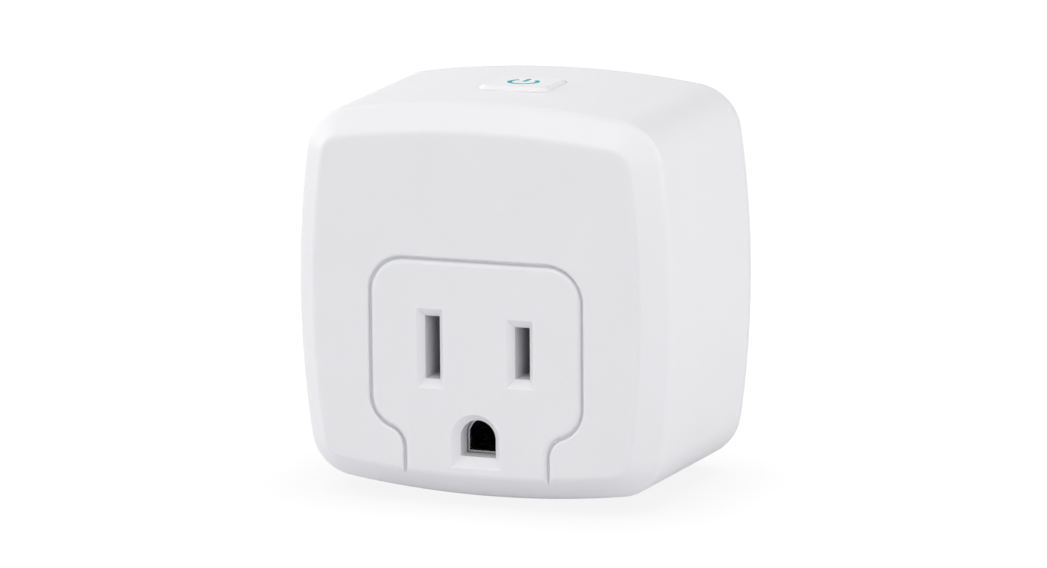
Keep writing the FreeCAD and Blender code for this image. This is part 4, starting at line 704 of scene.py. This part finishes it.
def power_tracks():
    """Copper tracks under the solder mask on the main board's rear side."""
    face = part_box("main_board")[1].y
    (left_x, lead_z), (right_x, _), _ = capacitor_places()
    lead_half = 1.75 * MM
    coil_low, coil_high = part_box("relay_coil_pins")
    coil_x = (coil_low.x + coil_high.x) / 2
    coil_r = (coil_high.x - coil_low.x) / 2
    # each track's width in millimetres, and the (x, z) points that it runs through
    routes = [
        (1.3, elbow(at("inductor_core", -2.4), (left_x - lead_half, lead_z), False)),
        (1.3, elbow(at("inductor_core", 2.4), (right_x - lead_half, lead_z))),
        (1.0, elbow((left_x + lead_half, lead_z), at("converter_chip", 0.63, -2.4), False)),
        (1.3, elbow((right_x + lead_half, lead_z), at("rectifier_bridge", 1.27, -2.4), False)),
        (1.6, elbow(at("fuse_resistor", 2.6), at("neutral_blade", -0.8, -1.8))),
        (1.6, elbow(at("fuse_resistor"), at("inductor_core", -2.4), False)),
        (2.0, elbow(at("varistor", 0.0, -2.5), at("line_blade", 1.0, -5.0), False)),
        (2.0, [at("line_blade", 1.0, -5.0), at("line_blade", 0.0, -2.2)]),
        (2.0, elbow(at("varistor", 0.0, 2.5), at("relay_terminal"), False)),
        (0.7, elbow((coil_x, coil_low.z + coil_r), at("flyback_diode", -2.4))),
        (0.7, elbow((coil_x, coil_high.z - coil_r), at("relay_driver", -0.95, 1.0))),
        (0.7, elbow(at("flyback_diode", 2.4), at("relay_driver", 0.95, -1.0))),
        (0.9, elbow(at("output_capacitor", 1.25), at("header_pins", 0.0, -0.6), False)),
        (0.9, elbow(at("output_capacitor", -1.25), at("header_pins", -2.54, -0.6), False)),
        (0.9, elbow(at("voltage_regulator", -2.3, -2.0), at("header_pins", 5.08, 0.0))),
        (0.6, elbow(at("voltage_regulator", 2.3, -2.0), at("relay_driver", 0.0, 1.0), False)),
    ]
    strips = []
    for width, points in routes:
        strips += [(a, b, width / 2 * MM) for a, b in zip(points, points[1:])]
        for x, z in (points[0], points[-1]):
            strips.append(((x - 0.2 * MM, z), (x + 0.2 * MM, z), (width / 2 + 0.25) * MM))
    shape = Shape()
    for number, (a, b, half) in enumerate(strips):
        # a hair's difference in height, so that no two faces lie in one plane
        shape.strip(a, b, half, face - 0.02 * MM, face + (0.04 + 0.0015 * number) * MM)
    shape.piece("power_tracks", finishes["track_green"])


def board_print():
    """White component outlines printed on the main board's front side."""
    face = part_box("main_board")[0].y
    y0, y1 = face - 0.03 * MM, face + 0.01 * MM
    half = 0.1 * MM   # half of a printed line's width
    shape = Shape()
    for node, gap in (("relay_case", 0.5), ("fuse_resistor", 0.5), ("varistor", 0.4)):
        low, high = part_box(node)
        x0, x1 = low.x - gap * MM, high.x + gap * MM
        z0, z1 = low.z - gap * MM, high.z + gap * MM
        corners = [(x0, z0), (x1, z0), (x1, z1), (x0, z1), (x0, z0)]
        for a, b in zip(corners, corners[1:]):
            shape.strip(a, b, half, y0, y1, 3)
    left, right, can = capacitor_places()
    circles = [(left, can), (right, can)]
    for node in ("output_capacitor", "inductor_core"):
        low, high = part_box(node)
        circles.append((at(node), (high.z - low.z) / 2))
    for centre, radius in circles:
        ring = radius + 0.35 * MM
        shape.lathe(centre, [(ring, y0), (ring + 2 * half, y0), (ring + 2 * half, y1), (ring, y1)], 48)
    shape.piece("board_print", finishes["print_white"])


# ---- Studio ----
def studio_floor():
    """A wide pale floor just under the plug, bright where the camera sees it save for a painted contact
    shadow near the plug, and clear from below.
    """
    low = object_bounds()[0]
    mesh = bpy.data.meshes.new("studio_floor")
    corners = [(x * FLOOR_HALF, y * FLOOR_HALF, 0) for x, y in ((-1, -1), (1, -1), (1, 1), (-1, 1))]
    mesh.from_pydata(corners, [], [(0, 1, 2, 3)])
    floor = bpy.data.objects.new("studio_floor", mesh)
    bpy.context.scene.collection.objects.link(floor)
    floor.location = (0, 0, low.z - 0.05 * MM)
    f = Finish("studio_floor")
    cloud = f.noise(40 * MM)
    f.set(Base_Color=f.blend(cloud, (0.74, 0.74, 0.75), (0.78, 0.78, 0.79)), Roughness=0.7,
          Emission_Color=(1.0, 1.0, 1.0), Emission_Strength=FLOOR_GLOW)
    # painted contact shadow: ambient occlusion dims the floor's camera-seen brightness near the plug
    contact = f.node("ShaderNodeAmbientOcclusion", samples=8)
    contact.inputs["Distance"].default_value = 14 * MM
    lit = f.node("ShaderNodeEmission")
    f.join(f.blend(cloud, (1.0, 1.0, 1.0), (0.99, 0.99, 0.995)), lit.inputs["Color"])
    f.join(f.spread(contact.outputs["AO"], 0.90, 1.02, 0.2, 1.0), lit.inputs["Strength"])
    seen = f.node("ShaderNodeMixShader")
    by_camera = f.node("ShaderNodeLightPath").outputs["Is Camera Ray"]
    f.join(by_camera, seen.inputs[0])
    f.join(f.surface.outputs[0], seen.inputs[1])
    f.join(lit.outputs[0], seen.inputs[2])
    from_below = f.node("ShaderNodeMixShader")
    f.join(f.math("MULTIPLY", by_camera, f.node("ShaderNodeNewGeometry").outputs["Backfacing"]),
           from_below.inputs[0])
    f.join(seen.outputs[0], from_below.inputs[1])
    f.join(f.node("ShaderNodeBsdfTransparent").outputs[0], from_below.inputs[2])
    f.join(from_below.outputs[0], f.output.inputs["Surface"])
    mesh.materials.append(f.material)
    floor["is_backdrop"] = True


def area_light(name, place, aim, size, power, colour):
    """A square softbox that looks at a point."""
    data = bpy.data.lights.new(name, "AREA")
    data.shape = "SQUARE"
    data.size = size
    data.energy = power
    data.color = colour
    light = bpy.data.objects.new(name, data)
    bpy.context.scene.collection.objects.link(light)
    light.location = place
    light.rotation_euler = (Vector(aim) - Vector(place)).to_track_quat("-Z", "Y").to_euler()


def studio_world():
    """Soft surroundings, with a strength of its own on each side, and at least white to the camera."""
    world = bpy.data.worlds.new("studio")
    bpy.context.scene.world = world
    world.use_nodes = True
    tree = world.node_tree
    split = tree.nodes.new("ShaderNodeSeparateXYZ")
    tree.links.new(tree.nodes.new("ShaderNodeTexCoord").outputs["Generated"], split.inputs[0])

    def arithmetic(operation, a, b):
        made = tree.nodes.new("ShaderNodeMath")
        made.operation = operation
        for value, socket in zip((a, b), made.inputs):
            if isinstance(value, bpy.types.NodeSocket):
                tree.links.new(value, socket)
            else:
                socket.default_value = value
        return made.outputs[0]

    total = 0.0
    for letter, direction, strength in WORLD_SIDES:
        towards = arithmetic("MAXIMUM", arithmetic("MULTIPLY", split.outputs[letter], direction), 0.0)
        total = arithmetic("ADD", arithmetic("MULTIPLY", towards, strength), total)
    by_camera = tree.nodes.new("ShaderNodeLightPath").outputs["Is Camera Ray"]
    background = tree.nodes["Background"]
    background.inputs["Color"].default_value = (1, 1, 1, 1)
    tree.links.new(arithmetic("MAXIMUM", total, by_camera), background.inputs["Strength"])


def studio_lights():
    """Softboxes all round, aimed at the middle of the plug."""
    for name, place, size, power in SOFTBOXES:
        area_light(name, place, LIGHTS_AIM, size, power, SOFTBOX_TINT)


def add_camera():
    """The long-lens camera, aimed near the outlet's face."""
    turn, rise = CAMERA_AZIMUTH, CAMERA_ELEVATION
    right = Vector((math.cos(turn), math.sin(turn), 0))
    back = Vector((math.sin(turn) * math.cos(rise), -math.cos(turn) * math.cos(rise), math.sin(rise)))
    up = back.cross(right)
    face = Vector((0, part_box("front_shell")[0].y, 0))
    place = face + back * CAMERA_DISTANCE + right * FRAMING_RIGHT + up * FRAMING_UP
    rolled_right = right * math.cos(CAMERA_ROLL) + up * math.sin(CAMERA_ROLL)
    rolled_up = up * math.cos(CAMERA_ROLL) - right * math.sin(CAMERA_ROLL)
    data = bpy.data.cameras.new("camera")
    data.lens = CAMERA_LENS
    data.sensor_width = SENSOR_WIDTH
    data.clip_start = 10 * MM
    data.clip_end = 50.0
    camera = bpy.data.objects.new("camera", data)
    bpy.context.scene.collection.objects.link(camera)
    facing = Matrix((rolled_right, rolled_up, back)).transposed().to_4x4()
    camera.matrix_world = Matrix.Translation(place) @ facing
    bpy.context.scene.camera = camera


finishes = paint_frame()
finishes["print_white"] = print_white().material
finishes["track_green"] = board("track_green", (0.03, 0.19, 0.07), (0.07, 0.26, 0.10)).material
wound_wire("relay_coil_wire", "relay_coil", 2.1 * MM, 0.24 * MM)
wound_wire("inductor_wire", "inductor_winding", 1.65 * MM, 0.34 * MM)
snap_dome()
solder_fillets()
power_tracks()
board_print()
studio_floor()
studio_world()
studio_lights()
add_camera()
bpy.context.scene.view_settings.view_transform = "Standard"
